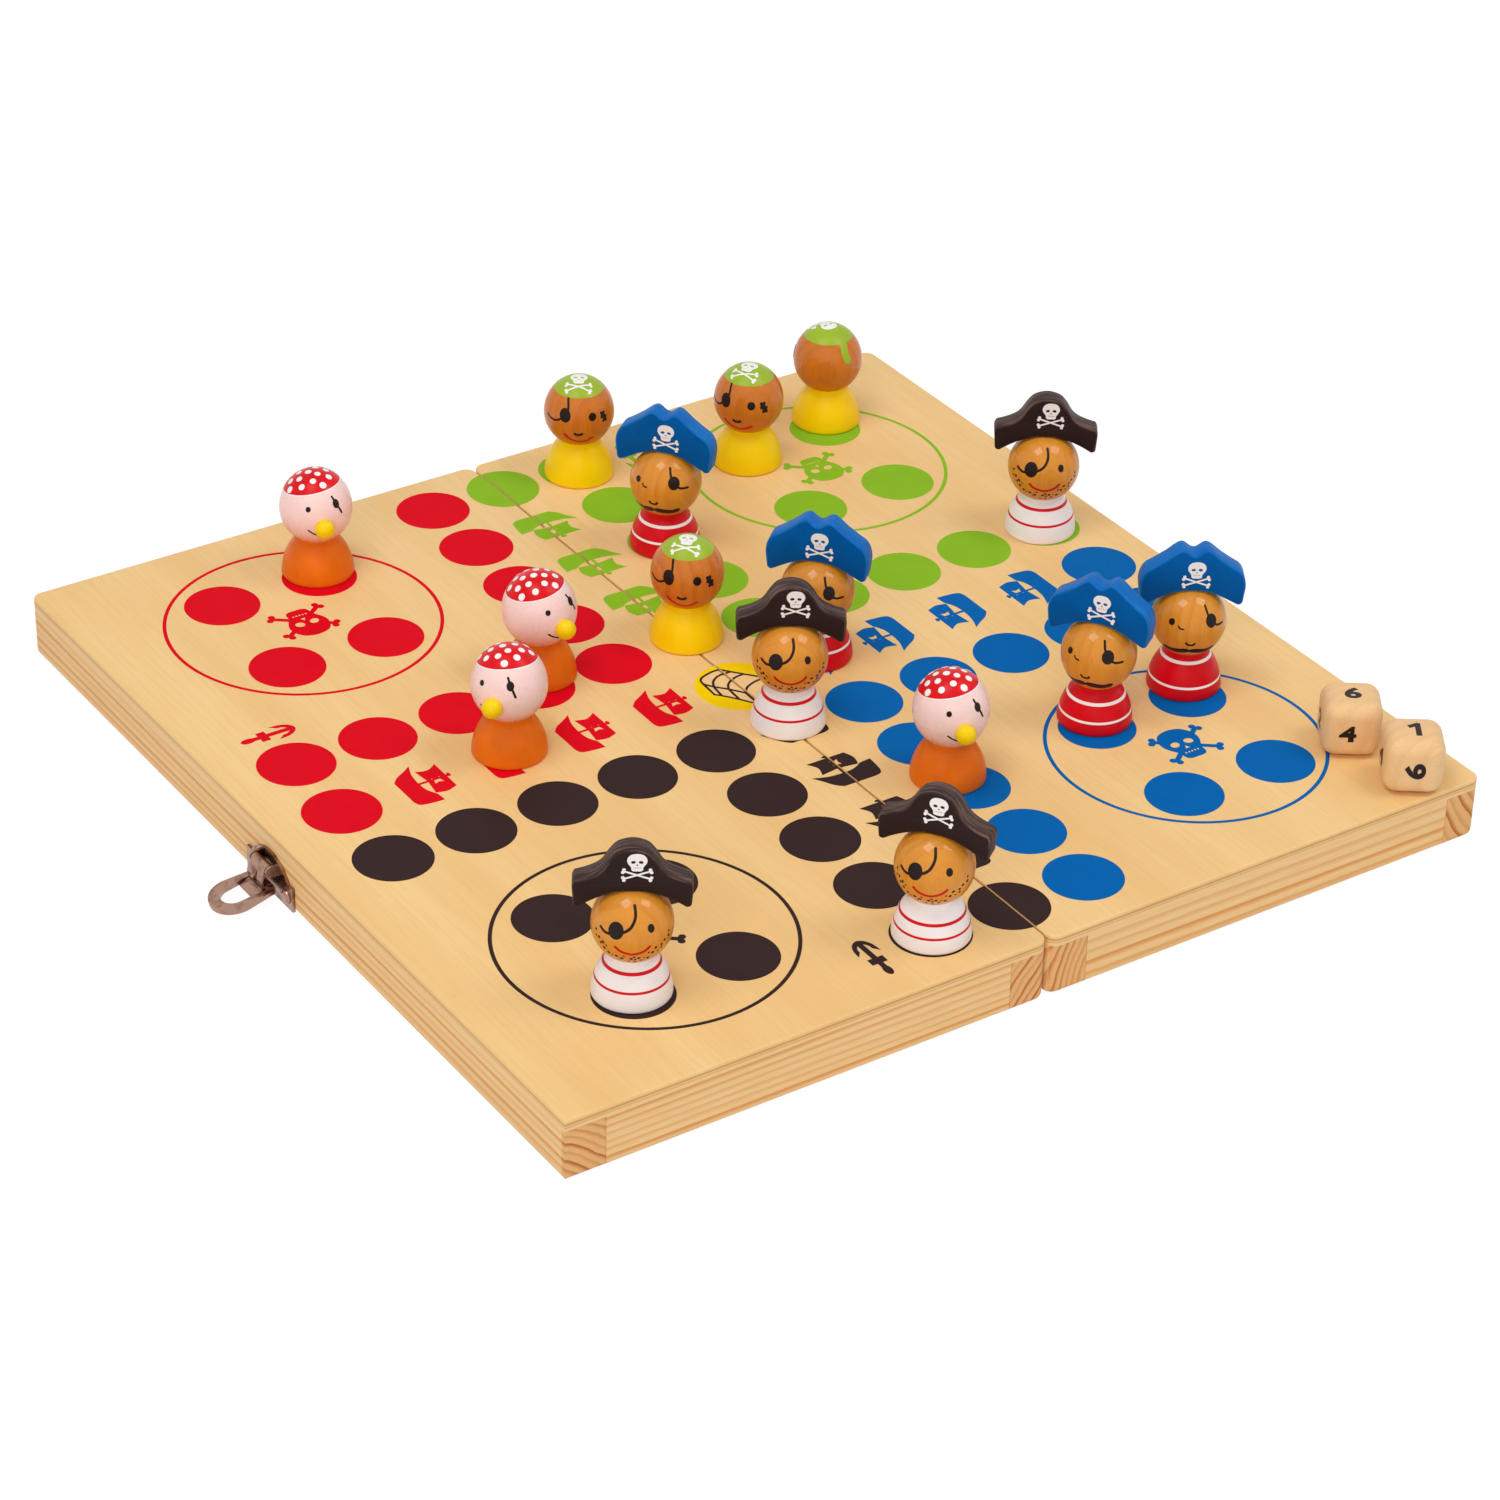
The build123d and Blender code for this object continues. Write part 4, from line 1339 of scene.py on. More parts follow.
@dataclass
class BallPaint:
    """Paint on one pawn's ball, placed by degrees round from its face and up from level."""

    middle: Vector
    facing: float
    radius: float = 9.7
    film: float = 0.06
    sunk: float = 0.12
    solid: Solid = field(default_factory=Solid)

    def outward(self, azimuth: float, elevation: float) -> Vector:
        """Direction from the ball's middle."""
        angle, lift = radians(self.facing + azimuth), radians(elevation)
        return Vector((sin(angle) * cos(lift), -cos(angle) * cos(lift), sin(lift)))

    def frame(self, azimuth: float, elevation: float) -> tuple[Vector, Vector, Vector]:
        """Outward, sideways and upward directions at a place on the ball."""
        out = self.outward(azimuth, elevation)
        side = self.outward(azimuth + 90, 0)
        return out, side, out.cross(side)

    def wrapped(self, place: tuple[Vector, Vector, Vector], u: float, v: float, lift: float) -> Vector:
        """Point that is u sideways and v upwards along the ball from a place, and lifted off it."""
        out, side, top = place
        reach = max(hypot(u, v), 1e-6)
        spread = reach / self.radius
        way = out * cos(spread) + (side * u + top * v) / reach * sin(spread)
        return self.middle + way * (self.radius + lift)

    def oval(
        self, azimuth: float, elevation: float, across: float, up: float,
        slot: int, lean: float = 0.0, coats: float = 1.0,
    ) -> None:
        """Oval of paint with half sizes measured along the ball."""
        place, skin = self.frame(azimuth, elevation), self.film * coats
        steps = max(2, ceil(degrees(max(across, up) / self.radius) / 4))
        around = max(24, 8 * steps)
        levels = [(1.0, -self.sunk)] + [(step / steps, skin) for step in range(steps, 0, -1)]
        if steps < 3:
            levels.insert(2, (0.985, skin))
        rings = []
        for share, lift in levels:
            loop = Pen.oval(0, 0, across * share, up * share, lean, around)
            rings.append([self.wrapped(place, u, v, lift) for u, v in loop])
        peak = self.middle + place[0] * (self.radius + skin)
        rings.append([peak + (point - peak) * 0.02 for point in rings[-1]])
        self.solid.loft(rings, [slot])

    def stroke(self, knots: Sequence[Point], width: float, slot: int) -> None:
        """Brush stroke through places given by azimuth and elevation."""
        line = Pen.flowing(knots, steps=10)
        ways = [self.outward(azimuth, elevation) for azimuth, elevation in line]
        runs = [0.0]
        for before, after in zip(ways, ways[1:]):
            runs.append(runs[-1] + (after - before).length * self.radius)
        rings, half = [], width / 2
        for index, way in enumerate(ways):
            ahead = ways[min(index + 1, len(ways) - 1)] - ways[max(index - 1, 0)]
            side = way.cross(ahead).normalized()
            near_end = min(runs[index], runs[-1] - runs[index])
            share = sqrt(max(0.0, 1 - (1 - min(near_end / half, 1.0)) ** 2))
            reach = half * max(share, 0.12)
            section = [(cos(pi * k / 6) * reach, sin(pi * k / 6) * self.film) for k in range(7)]
            section += [(-reach, -self.sunk), (reach, -self.sunk)]
            rings.append([self.middle + way * (self.radius + lift) + side * shift for shift, lift in section])
        self.solid.loft(rings, [slot])

    def emblem(self, elevation: float, scale: float, slot: int) -> None:
        """Skull and crossbones wrapped on the ball, upright as seen from the front."""
        work = stamp(Pen.moved(jolly_roger(), scale, 0), -self.sunk, self.film * 1.8)
        pitch, cuts = 0.55, 9
        for axis in (0, 1):
            for step in range(-cuts, cuts + 1):
                spot, normal = Vector(), Vector()
                spot[axis], normal[axis] = step * pitch, 1.0
                slice_at(work, spot, normal)
        place, start = self.frame(0, elevation), len(self.solid.points)
        self.solid.points += [self.wrapped(place, *vertex.co) for vertex in work.verts]
        work.verts.index_update()
        for face in work.faces:
            self.solid.face([start + vertex.index for vertex in face.verts], slot)
        work.free()


CAP_AT, CAP_REACH = (-135.0, 79.5), 50.5


def about(axis: str, angle: float) -> Matrix:
    """Turn about an axis by an angle."""
    return Matrix.Rotation(radians(angle), 4, axis)


def drawn_up(mesh: bpy.types.Mesh, middle: Vector, share: float) -> bpy.types.Mesh:
    """Mesh on a ball whose upper half is drawn out upwards by a share."""
    level = middle.z * MM
    for vertex in mesh.vertices:
        if vertex.co.z > level:
            vertex.co.z = level + (vertex.co.z - level) * share
    return mesh


class Kind(Enum):
    """The four sorts of pawn."""

    BIRD = "bird"
    BANDANA = "bandana"
    BLUE_HAT = "blue_hat"
    BLACK_HAT = "black_hat"


@dataclass
class SawnHat:
    """Hat sawn from a board across the line that its pawn looks along."""

    seat_radius: float
    face: Finish
    edge: Finish
    thickness: float = 5.7
    setback: float = 0.0
    span: float = 28.0
    drop: float = 4.3
    height: float = 11.6
    emblem_at: Point = (1.0, 5.2)
    emblem_scale: float = 0.9
    corner: float = 0.8
    straight: float = 14.0
    bevel: float = 0.5

    def half(self) -> list[Point]:
        """Right half of the outline, from the seat's middle round to the crown."""
        raise NotImplementedError

    def run(self, knots: Sequence[Point], start: Point, end: Point, steps: int = 12) -> list[Point]:
        """Smooth line through knots with given directions at its ends."""
        points = [Vector(knot) for knot in knots]
        ways = [(after - before) / 2 for before, after in zip(points, points[2:])]
        spans = [(after - before).length for before, after in zip(points, points[1:])]
        ways = [Vector(start).normalized() * spans[0], *ways, Vector(end).normalized() * spans[-1]]
        line = []
        for index, (a, b) in enumerate(zip(points, points[1:])):
            for step in range(steps):
                s = step / steps
                point = (2 * s**3 - 3 * s**2 + 1) * a + (s**3 - 2 * s**2 + s) * ways[index]
                point += (3 * s**2 - 2 * s**3) * b + (s**3 - s**2) * ways[index + 1]
                line.append((point.x, point.y))
        return line

    def outline(self) -> list[Vector]:
        """Whole outline with its corners rounded, anticlockwise from the seat."""
        knots = [Vector(point) for point in Pen.mirrored(self.half())]
        line = []
        for index, knot in enumerate(knots):
            back, ahead = knots[index - 1] - knot, knots[(index + 1) % len(knots)] - knot
            if pi - back.angle(ahead, pi) < radians(self.straight):
                line.append(knot)
                continue
            a = knot + back.normalized() * min(self.corner, back.length * 0.45)
            c = knot + ahead.normalized() * min(self.corner, ahead.length * 0.45)
            line += bend(a, knot, c, (0, 0.25, 0.5, 0.75, 1))
        return line

    def inset(self, line: Sequence[Vector], depth: float) -> list[Vector]:
        """Outline moved inwards."""
        moved = []
        for index, point in enumerate(line):
            run = (line[(index + 1) % len(line)] - line[index - 1]).normalized()
            moved.append(point + Vector((-run.y, run.x)) * depth)
        return moved

    @staticmethod
    def axes(bearing: float) -> tuple[Vector, Vector]:
        """Sideways and forward directions of a hat that faces a bearing."""
        turn = radians(bearing)
        return Vector((cos(turn), sin(turn), 0)), Vector((sin(turn), -cos(turn), 0))

    def mesh(self, name: str, seat: Vector, bearing: float) -> bpy.types.Mesh:
        """The hat, set on its seat and facing a bearing."""
        side, front = self.axes(bearing)
        line, half = self.outline(), self.thickness / 2
        seat = seat - front * self.setback
        soft = self.bevel * 0.3
        steps = [(-half, self.bevel), (soft - half, soft), (self.bevel - half, 0.0)]
        steps += [(-through, depth) for through, depth in reversed(steps)]
        rings = []
        for through, depth in steps:
            ring = self.inset(line, depth)
            rings.append([seat + side * p.x + Vector((0, 0, p.y)) + front * through for p in ring])
        solid = Solid()
        solid.loft(rings, [1], fan=False)
        solid.slots[-2:] = [0, 0]
        mesh = solid.mesh(name, crease=28.0)
        lengths = [0.0]
        for before, after in zip(line, line[1:]):
            lengths.append(lengths[-1] + (after - before).length)
        runs = mesh.attributes.new("edge_run", "FLOAT_VECTOR", "POINT")
        for index in range(len(mesh.vertices)):
            ring, step = divmod(index, len(line))
            runs.data[index].vector = (lengths[step], steps[ring][0], seat.x)
        return mesh

    def emblem(self, name: str, seat: Vector, bearing: float) -> bpy.types.Mesh:
        """Skull and crossbones painted on the hat's front face."""
        work = stamp(Pen.moved(jolly_roger(), self.emblem_scale, 0, *self.emblem_at), -0.05, 0.05)
        turn = about("Z", bearing) @ about("X", 90)
        face = seat + self.axes(bearing)[1] * (self.thickness / 2 - self.setback)
        bmesh.ops.transform(work, matrix=Matrix.Translation(face) @ turn, verts=work.verts)
        return from_bmesh(name, work)


@dataclass
class DomedHat(SawnHat):
    """Round crown, drawn out to low square wings."""

    def half(self) -> list[Point]:
        """Right half of the outline."""
        reach = self.span / 2
        low, tip = (reach - 1.6, -self.drop), (reach - 0.4, 0.3 - self.drop)
        crown = [(reach - 0.6, 2.8), (9.4, 4.2), (7.1, 5.9), (5.3, 8.7), (3.4, 10.7), (0, self.height)]
        line = [(0, 0)] + self.run([(self.seat_radius, 0), low], (1, -0.1), (1, -0.7))
        return line + [low, tip, (reach, 1.6)] + self.run(crown, (-1, 0.2), (-1, 0)) + crown[-1:]


@dataclass
class NotchedHat(SawnHat):
    """Full sides and a notch in the top."""

    notch_depth: float = 1.6

    def half(self) -> list[Point]:
        """Right half of the outline."""
        reach = self.span / 2
        low, tip = (reach - 1.6, 0.2 - self.drop), (reach - 0.5, 0.7 - self.drop)
        wing = [(reach, 1.0), (reach - 0.5, 4.0), (reach - 2.0, 6.1)]
        crown = [wing[-1], (7.4, 8.9), (3.3, self.height), (0, self.height - self.notch_depth)]
        line = [(0, 0)] + self.run([(self.seat_radius, 0), low], (1, -0.08), (1, -0.5)) + [low, tip]
        return line + self.run(wing, (0, 1), (-1, 0.8)) + self.run(crown, (-1, 0.55), (-1, 0)) + crown[-1:]


@dataclass
class Pawns:
    """All sixteen pawns, each on its own body."""

    bearing: float = 55.6
    nose_radius: float = 2.65
    nose_reach: float = 10.75
    nose_drop: float = 6.0
    cap_dots: int = 19
    cap_margin: float = 5.5
    cap_dot: Point = (0.92, 0.09)
    jaw_steps: tuple[int, int] = (24, 3)
    jaw_reach: float = 61.0
    jaw_lift: float = 0.01
    speck: Point = (0.36, 0.06)
    speck_spacing: float = 0.98
    band_heights: tuple[float, float] = (9.35, 5.3)
    band_widths: tuple[float, float] = (0.72, 0.62)
    painted_bands: dict = field(default_factory=lambda: {
        "blue_hat_pawn_1": (8.9, 4.8),
        "blue_hat_pawn_3": (8.4, 3.9),
        "blue_hat_pawn_4": (9.9, 3.9),
        "black_hat_pawn_2": (7.5, 4.3),
    })
    crowns: dict = field(default_factory=lambda: {Kind.BIRD: 1.1, Kind.BANDANA: 1.06})
    face_turns: dict = field(default_factory=lambda: {"black_hat_pawn_2": 12.0})
    turning: Turning = field(default_factory=Turning)
    turns: dict = field(default_factory=lambda: {
        Kind.BIRD: (18, 42, -20, 19),
        Kind.BANDANA: (0, -21, -140, -9),
        Kind.BLUE_HAT: (-17, -14, -22, 2),
        Kind.BLACK_HAT: (2, -20, 1, -1),
    })

    def feet(self, kind: Kind, body: str, board_top: float) -> Lacquer:
        """Paint of a foot."""
        heights = self.painted_bands.get(body, self.band_heights)
        bands = tuple((board_top + z, w) for z, w in zip(heights, self.band_widths))
        if kind is Kind.BIRD:
            return Lacquer("orange_foot", paint(232, 112, 8), shade=paint(196, 76, 4), unevenness=0.34)
        if kind is Kind.BANDANA:
            return Lacquer("yellow_foot", paint(252, 212, 0), shade=paint(236, 176, 0), unevenness=0.3)
        if kind is Kind.BLUE_HAT:
            ground, unevenness, stripe = paint(218, 2, 22), 0.14, WHITE
        else:
            ground, unevenness, stripe = paint(244, 236, 235), 0.05, paint(212, 4, 24)
        name = f"{body}_red_foot" if kind is Kind.BLUE_HAT else f"{body}_white_foot"
        return Lacquer(name, ground, unevenness=unevenness, bands=bands, band_colour=stripe)

    def head(self, kind: Kind, board_top: float) -> Finish:
        """Finish of a ball."""
        if kind is Kind.BIRD:
            # the orange blended into the pink ball low down is a painted reflection of the orange foot below
            # it
            low = board_top + self.turning.neck[1]
            return Lacquer(
                "pink_ball", paint(250, 214, 208), gloss=0.78, unevenness=0.04, specular=0.4,
                painted_reflection=paint(222, 142, 106), reflection_low=low - 3, reflection_high=low + 9,
            )
        early, late = paint(220, 144, 44), paint(188, 100, 18)
        if kind is Kind.BANDANA:
            early, late = paint(208, 118, 30), paint(164, 78, 12)
        return Timber(
            f"{kind.value}_ball_wood", early, late, Along.Z, (35, 20),
            ring_pitch=2.8, ring_strength=0.3, roughness=0.4, fibre_depth=0.006, coat=0.5, specular=0.1,
        )

    def hat(self, kind: Kind) -> SawnHat:
        """Hat of a kind that wears one."""
        turning = self.turning
        seat = sqrt(turning.head_radius**2 - (turning.head_radius - turning.hat_seat) ** 2)
        if kind is Kind.BLUE_HAT:
            face = Lacquer("blue_hat_face", paint(0, 90, 164), gloss=0.6, unevenness=0.16, specular=0.05)
            edge = SawnEdge("blue_hat_edge", paint(0, 100, 180), paint(28, 118, 194))
            return NotchedHat(seat, face, edge, span=27.2, height=11.9, emblem_at=(0.75, 3.3))
        face = Lacquer("black_hat_face", paint(46, 31, 29), gloss=0.6, unevenness=0.16, specular=0.08)
        edge = SawnEdge("black_hat_edge", paint(48, 33, 31), paint(120, 94, 84))
        return DomedHat(seat, face, edge, setback=0.6)

    def build(self, board_top: float) -> None:
        """Make every pawn."""
        for kind, turns in self.turns.items():
            for number, turn in enumerate(turns, start=1):
                self.build_pawn(kind, f"{kind.value}_pawn_{number}", turn, board_top)

    def build_pawn(self, kind: Kind, body: str, turn: float, board_top: float) -> None:
        """Make one pawn where the frame has it."""
        low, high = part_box(f"{body}_peg")
        spot = Vector(((low[0] + high[0]) / 2 / MM, (low[1] + high[1]) / 2 / MM, board_top))
        hatted = kind in (Kind.BLUE_HAT, Kind.BLACK_HAT)
        slot = f"{kind.value}_peg_lacquer"
        finishes = [self.feet(kind, body, board_top), self.head(kind, board_top)]
        name = f"{body}_turned_peg"
        middle = spot + Vector((0, 0, self.turning.head_height))
        crown = self.crowns.get(kind, 1.0)
        peg = drawn_up(self.turning.mesh(name, spot, hatted), middle, crown)
        fit(name, peg, finishes, body, slot, f"{body}_peg")
        face = BallPaint(middle, self.bearing + turn + self.face_turns.get(body, 0.0))
        painters: dict[Kind, Callable[[BallPaint], list[Finish]]] = {
            Kind.BIRD: paint_bird,
            Kind.BANDANA: paint_bandana,
            Kind.BLUE_HAT: paint_moustache,
            Kind.BLACK_HAT: paint_smile,
        }
        inks = painters[kind](face)
        name = f"{body}_face_paint"
        fit(name, drawn_up(face.solid.mesh(name), middle, crown), inks, body, slot)
        if kind is Kind.BIRD:
            self.build_beak(body, face)
            self.dot_cap(body, face, slot, crown)
        if kind is Kind.BLACK_HAT:
            self.dot_beard(body, face, slot)
        if hatted:
            self.build_hat(kind, body, spot, self.bearing + turn)

    def build_beak(self, body: str, face: BallPaint) -> None:
        """Glossy yellow bead glued on the ball."""
        centre = face.middle + face.outward(0, -self.nose_drop) * self.nose_reach
        work = bmesh.new()
        bmesh.ops.create_icosphere(work, subdivisions=4, radius=self.nose_radius)
        bmesh.ops.translate(work, vec=centre, verts=work.verts)
        amber = paint(220, 160, 0)
        bead = Lacquer("yellow_bead", paint(246, 208, 0), gloss=0.82, unevenness=0.06, shade=amber)
        name = f"{body}_beak"
        fit(name, from_bmesh(name, work, 60.0), [bead], body, "yellow_lacquer", f"{body}_nose")

    def dot_cap(self, body: str, face: BallPaint, slot: str, crown: float) -> None:
        """White dots spread evenly over the cap."""
        place, spots = face.frame(*CAP_AT), []
        for count in range(self.cap_dots):
            spread = radians(CAP_REACH - self.cap_margin) * sqrt((count + 0.5) / self.cap_dots)
            reach, turn = spread * face.radius, count * pi * (3 - sqrt(5)) + 0.4
            spots.append(face.wrapped(place, reach * cos(turn), reach * sin(turn), face.film * 1.5) * MM)
        base = bpy.data.meshes.new(f"{body}_dot_places")
        base.from_pydata(spots, [], [])
        name = f"{body}_cap_dots"
        mesh = Repeat.DOTS.grow(
            name, base, Dot_Radius=self.cap_dot[0] * MM, Dot_Height=self.cap_dot[1] * MM,
            Size_Change=0.06, Seed=7, Centre=face.middle * MM, Material=CHALK.material(),
        )
        fit(name, drawn_up(mesh, face.middle, crown), [], body, slot)

    def dot_beard(self, body: str, face: BallPaint, slot: str) -> None:
        """Stubble along the jaw."""
        patch = Solid()
        (steps, rows), low, lift, deep, taper = self.jaw_steps, -41, 41, 18, 6
        for row in range(rows + 1):
            for step in range(steps + 1):
                share = 2 * step / steps - 1
                elevation = low + lift * share**2 + (deep - taper * share**2) * row / rows
                way = face.outward(self.jaw_reach * share, elevation)
                patch.points.append(face.middle + way * (face.radius + self.jaw_lift))
        for row in range(rows):
            for step in range(steps):
                corner = row * (steps + 1) + step
                patch.face([corner, corner + 1, corner + steps + 2, corner + steps + 1], 0)
        base = patch.mesh(f"{body}_jaw")
        name = f"{body}_stubble"
        mesh = Repeat.STUBBLE.grow(
            name, base, Dot_Radius=self.speck[0] * MM, Dot_Height=self.speck[1] * MM, Size_Change=0.3,
            Seed=11, Spacing=self.speck_spacing * MM, Density=1.8e6, Material=INK.material(),
        )
        fit(name, mesh, [], body, slot)

    def build_hat(self, kind: Kind, body: str, spot: Vector, bearing: float) -> None:
        """Saw, set and paint a hat."""
        hat = self.hat(kind)
        seat = spot + Vector((0, 0, self.turning.head_top))
        slot = "blue_lacquer" if kind is Kind.BLUE_HAT else "black_lacquer"
        name = f"{body}_sawn_hat"
        fit(name, hat.mesh(name, seat, bearing), [hat.face, hat.edge], body, slot, f"{body}_hat")
        name = f"{body}_hat_emblem"
        fit(name, hat.emblem(name, seat, bearing), [CHALK], body, slot)


def paint_bird(face: BallPaint) -> list[Finish]:
    """Spotted cap, eye, tied patch and a short smile beside the beak."""
    arc, piping = face.radius * pi / 180, 1.9
    rim = (CAP_REACH + piping) * arc
    face.oval(*CAP_AT, rim, rim, 1, coats=0.7)
    face.oval(*CAP_AT, CAP_REACH * arc, CAP_REACH * arc, 2, coats=1.4)
    face.oval(-24.6, 22.0, 0.68, 0.7, 0)
    face.oval(25.6, 25.5, 0.95, 1.15, 0)
    face.stroke([(21.1, 38.8), (27.0, 24.0), (33.8, 8.3)], 0.6, 0)
    face.stroke([(-25.5, -11.3), (-17.7, -18.2), (-4.4, -26.2)], 0.5, 0)
    return [INK, CHALK, CAP_RED]


def paint_bandana(face: BallPaint) -> list[Finish]:
    """Green cap with its device and a knot behind, patch, eye, stitches and a smile."""
    arc = face.radius * pi / 180
    face.oval(0, 89.5, 44.5 * arc, 44.5 * arc, 3, coats=0.8)
    face.stroke([(180, 50), (174, 30), (180, 12)], 2.2, 3)
    face.emblem(69, 0.95, 1)
    face.oval(-21.7, 16.6, 1.62, 1.95, 0, lean=14)
    face.stroke([(-22.6, 46.0), (-17.5, 30.0), (-18.0, 20.0)], 0.66, 0)
    face.stroke([(-62.0, 9.0), (-50.6, 5.0), (-38.0, 5.0), (-24.0, 12.0)], 0.6, 0)
    face.oval(25.9, 14.4, 1.1, 1.12, 0)
    for azimuth, elevation in ((46.3, 13.6), (49.5, 6.6)):
        for rise in (-5.0, 5.0):
            face.stroke([(azimuth - 4.6, elevation - rise), (azimuth + 4.6, elevation + rise)], 0.95, 0)
    face.stroke([(-5.6, -12.0), (-2.0, -16.0), (4.6, -16.2), (9.4, -12.4)], 0.85, 0)
    face.stroke([(-24.0, -16.0), (-15.0, -27.0), (1.0, -34.5), (16.0, -32.6), (29.5, -23.6)], 1.05, 2)
    return [INK, CHALK, LIP, CAP_GREEN]


def paint_moustache(face: BallPaint) -> list[Finish]:
    """Eye, tied patch, a small nose and a wavy moustache low down."""
    face.oval(-35.1, 19.7, 0.85, 0.9, 0)
    face.oval(32.4, 22.6, 1.6, 1.85, 0, lean=-8)
    face.stroke([(29.0, 28.0), (27.6, 38.0), (28.2, 49.5)], 0.62, 0)
    face.stroke([(36.0, 18.0), (44.0, 12.8), (59.0, 11.5)], 0.62, 0)
    face.stroke([(-23.6, 17.0), (-20.0, 12.4), (-13.2, 12.2)], 0.44, 0)
    face.stroke([(-9.4, -10.4), (-5.6, -15.0), (1.6, -15.4), (5.6, -10.8)], 0.64, 0)
    face.stroke([(-54.0, -32.0), (-38.0, -34.5), (-22.0, -33.0), (-10.0, -30.6), (-2.5, -32.0)], 2.0, 0)
    face.stroke([(-2.5, -32.0), (6.0, -30.4), (18.0, -32.4), (32.0, -33.6), (46.0, -29.0)], 2.0, 0)
    return [INK]


def paint_smile(face: BallPaint) -> list[Finish]:
    """Patch with a curved strap, an eye and a red smile."""
    face.oval(-24.2, 18.0, 1.9, 2.15, 0)
    face.stroke([(-18.0, 16.0), (-9.0, 19.6), (-0.6, 27.0), (5.6, 41.0), (5.0, 58.0)], 0.7, 0)
    face.stroke([(-30.0, 12.0), (-40.0, 11.0), (-53.0, 16.0)], 0.7, 0)
    face.oval(28.3, 21.0, 0.84, 1.05, 0)
    face.stroke([(-25.4, -5.6), (-16.0, -13.6), (1.0, -18.0), (17.0, -13.0), (26.0, -4.6)], 0.8, 1)
    return [INK, LIP]


# ---------------------------------------------------------------- dice
@dataclass(frozen=True)
class Numeral:
    """Numeral on one face of a die."""

    digit: str
    scale: float = 0.8
    lean: float = 0.0
    shift: float = 0.0


@dataclass
class Dice:
    """Two wooden dice with printed numerals."""

    edge: float = 15.2
    corner: float = 3.8
    numeral: float = 8.6
    numeral_ink: float = 0.05
    numeral_weight: float = 0.34
    numeral_stretch: tuple[float, float, float] = (1.25, 0.92, 1.0)
    numeral_lift: float = 0.01
    bearing: float = 55.6
    sides: dict = field(default_factory=lambda: {
        "die_1": {
            "top": Numeral("6"), "front": Numeral("4", 0.76, shift=-1.3), "right": Numeral("5"),
            "back": Numeral("3"), "left": Numeral("2"), "foot": Numeral("1"),
        },
        "die_2": {
            "top": Numeral("1", 0.9), "front": Numeral("6", 0.85, lean=90), "right": Numeral("3", 0.85),
            "back": Numeral("2", 0.85), "left": Numeral("4", 0.85), "foot": Numeral("5", 0.85),
        },
    })
    turns: dict = field(default_factory=lambda: {
        "top": (0, 0), "front": (0, 90), "right": (90, 90), "back": (180, 90), "left": (270, 90),
        "foot": (0, 180),
    })

    def facing(self, side: str) -> Matrix:
        """Turn that brings the XY plane, read upright, to a face of the die."""
        around, tilt = self.turns[side]
        return about("Z", self.bearing + around) @ about("X", tilt)

    def numeral_mesh(self, digit: str) -> bmesh.types.BMesh:
        """One numeral lying at the origin, in millimetres."""
        if digit == "1":
            strokes = [[Pen.bar((0.9, -3.2), (0.9, 3.2), 1.6)], [Pen.bar((1.3, 2.9), (-1.7, 1.3), 1.4)]]
            return stamp(strokes, 0.0, self.numeral_ink)
        text = bpy.data.curves.new(f"numeral_{digit}", "FONT")
        text.body = digit
        text.size = self.numeral
        text.extrude = self.numeral_ink
        text.offset = self.numeral_weight
        text.resolution_u = 6
        mesh = evaluated(bpy.data.objects.new("numeral", text))
        work = bmesh.new()
        work.from_mesh(mesh)
        bmesh.ops.remove_doubles(work, verts=work.verts, dist=1e-4)
        xs, ys = [v.co.x for v in work.verts], [v.co.y for v in work.verts]
        middle = Vector(((min(xs) + max(xs)) / 2, (min(ys) + max(ys)) / 2, 0))
        bmesh.ops.translate(work, vec=-middle, verts=work.verts)
        bmesh.ops.scale(work, vec=self.numeral_stretch, verts=work.verts)
        return work

    def build(self) -> None:
        """Make both dice where the frame has them."""
        wood = Timber(
            "die_maple", paint(236, 194, 142), paint(212, 156, 100), Along.Y, (30, 40),
            ring_pitch=3.4, ring_strength=0.3, roughness=0.42, fibre_depth=0.015, specular=0.2,
        )
        for body, faces in self.sides.items():
            low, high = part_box(body)
            middle = Vector([(a + b) / 2 / MM for a, b in zip(low, high)])
            middle.z = low[2] / MM + self.edge / 2
            work = bmesh.new()
            bmesh.ops.create_cube(work, size=self.edge)
            bmesh.ops.bevel(
                work, geom=work.edges[:], offset=self.corner, segments=8, profile=0.5, affect="EDGES",
            )
            set_down = Matrix.Translation(middle) @ about("Z", self.bearing)
            bmesh.ops.transform(work, matrix=set_down, verts=work.verts)
            name = f"{body}_wood"
            fit(name, from_bmesh(name, work), [wood], body, "dice_wood", body)
            numerals = bmesh.new()
            for side, numeral in faces.items():
                glyph = self.numeral_mesh(numeral.digit)
                lift = Matrix.Translation((numeral.shift, 0, self.edge / 2 + self.numeral_lift))
                size = Matrix.Scale(numeral.scale, 4) @ about("Z", numeral.lean)
                place = Matrix.Translation(middle) @ self.facing(side) @ lift @ size
                bmesh.ops.transform(glyph, matrix=place, verts=glyph.verts)
                mesh = bpy.data.meshes.new("glyph")
                glyph.to_mesh(mesh)
                numerals.from_mesh(mesh)
                glyph.free()
            name = f"{body}_numerals"
            fit(name, from_bmesh(name, numerals), [INK], body, "dice_wood")


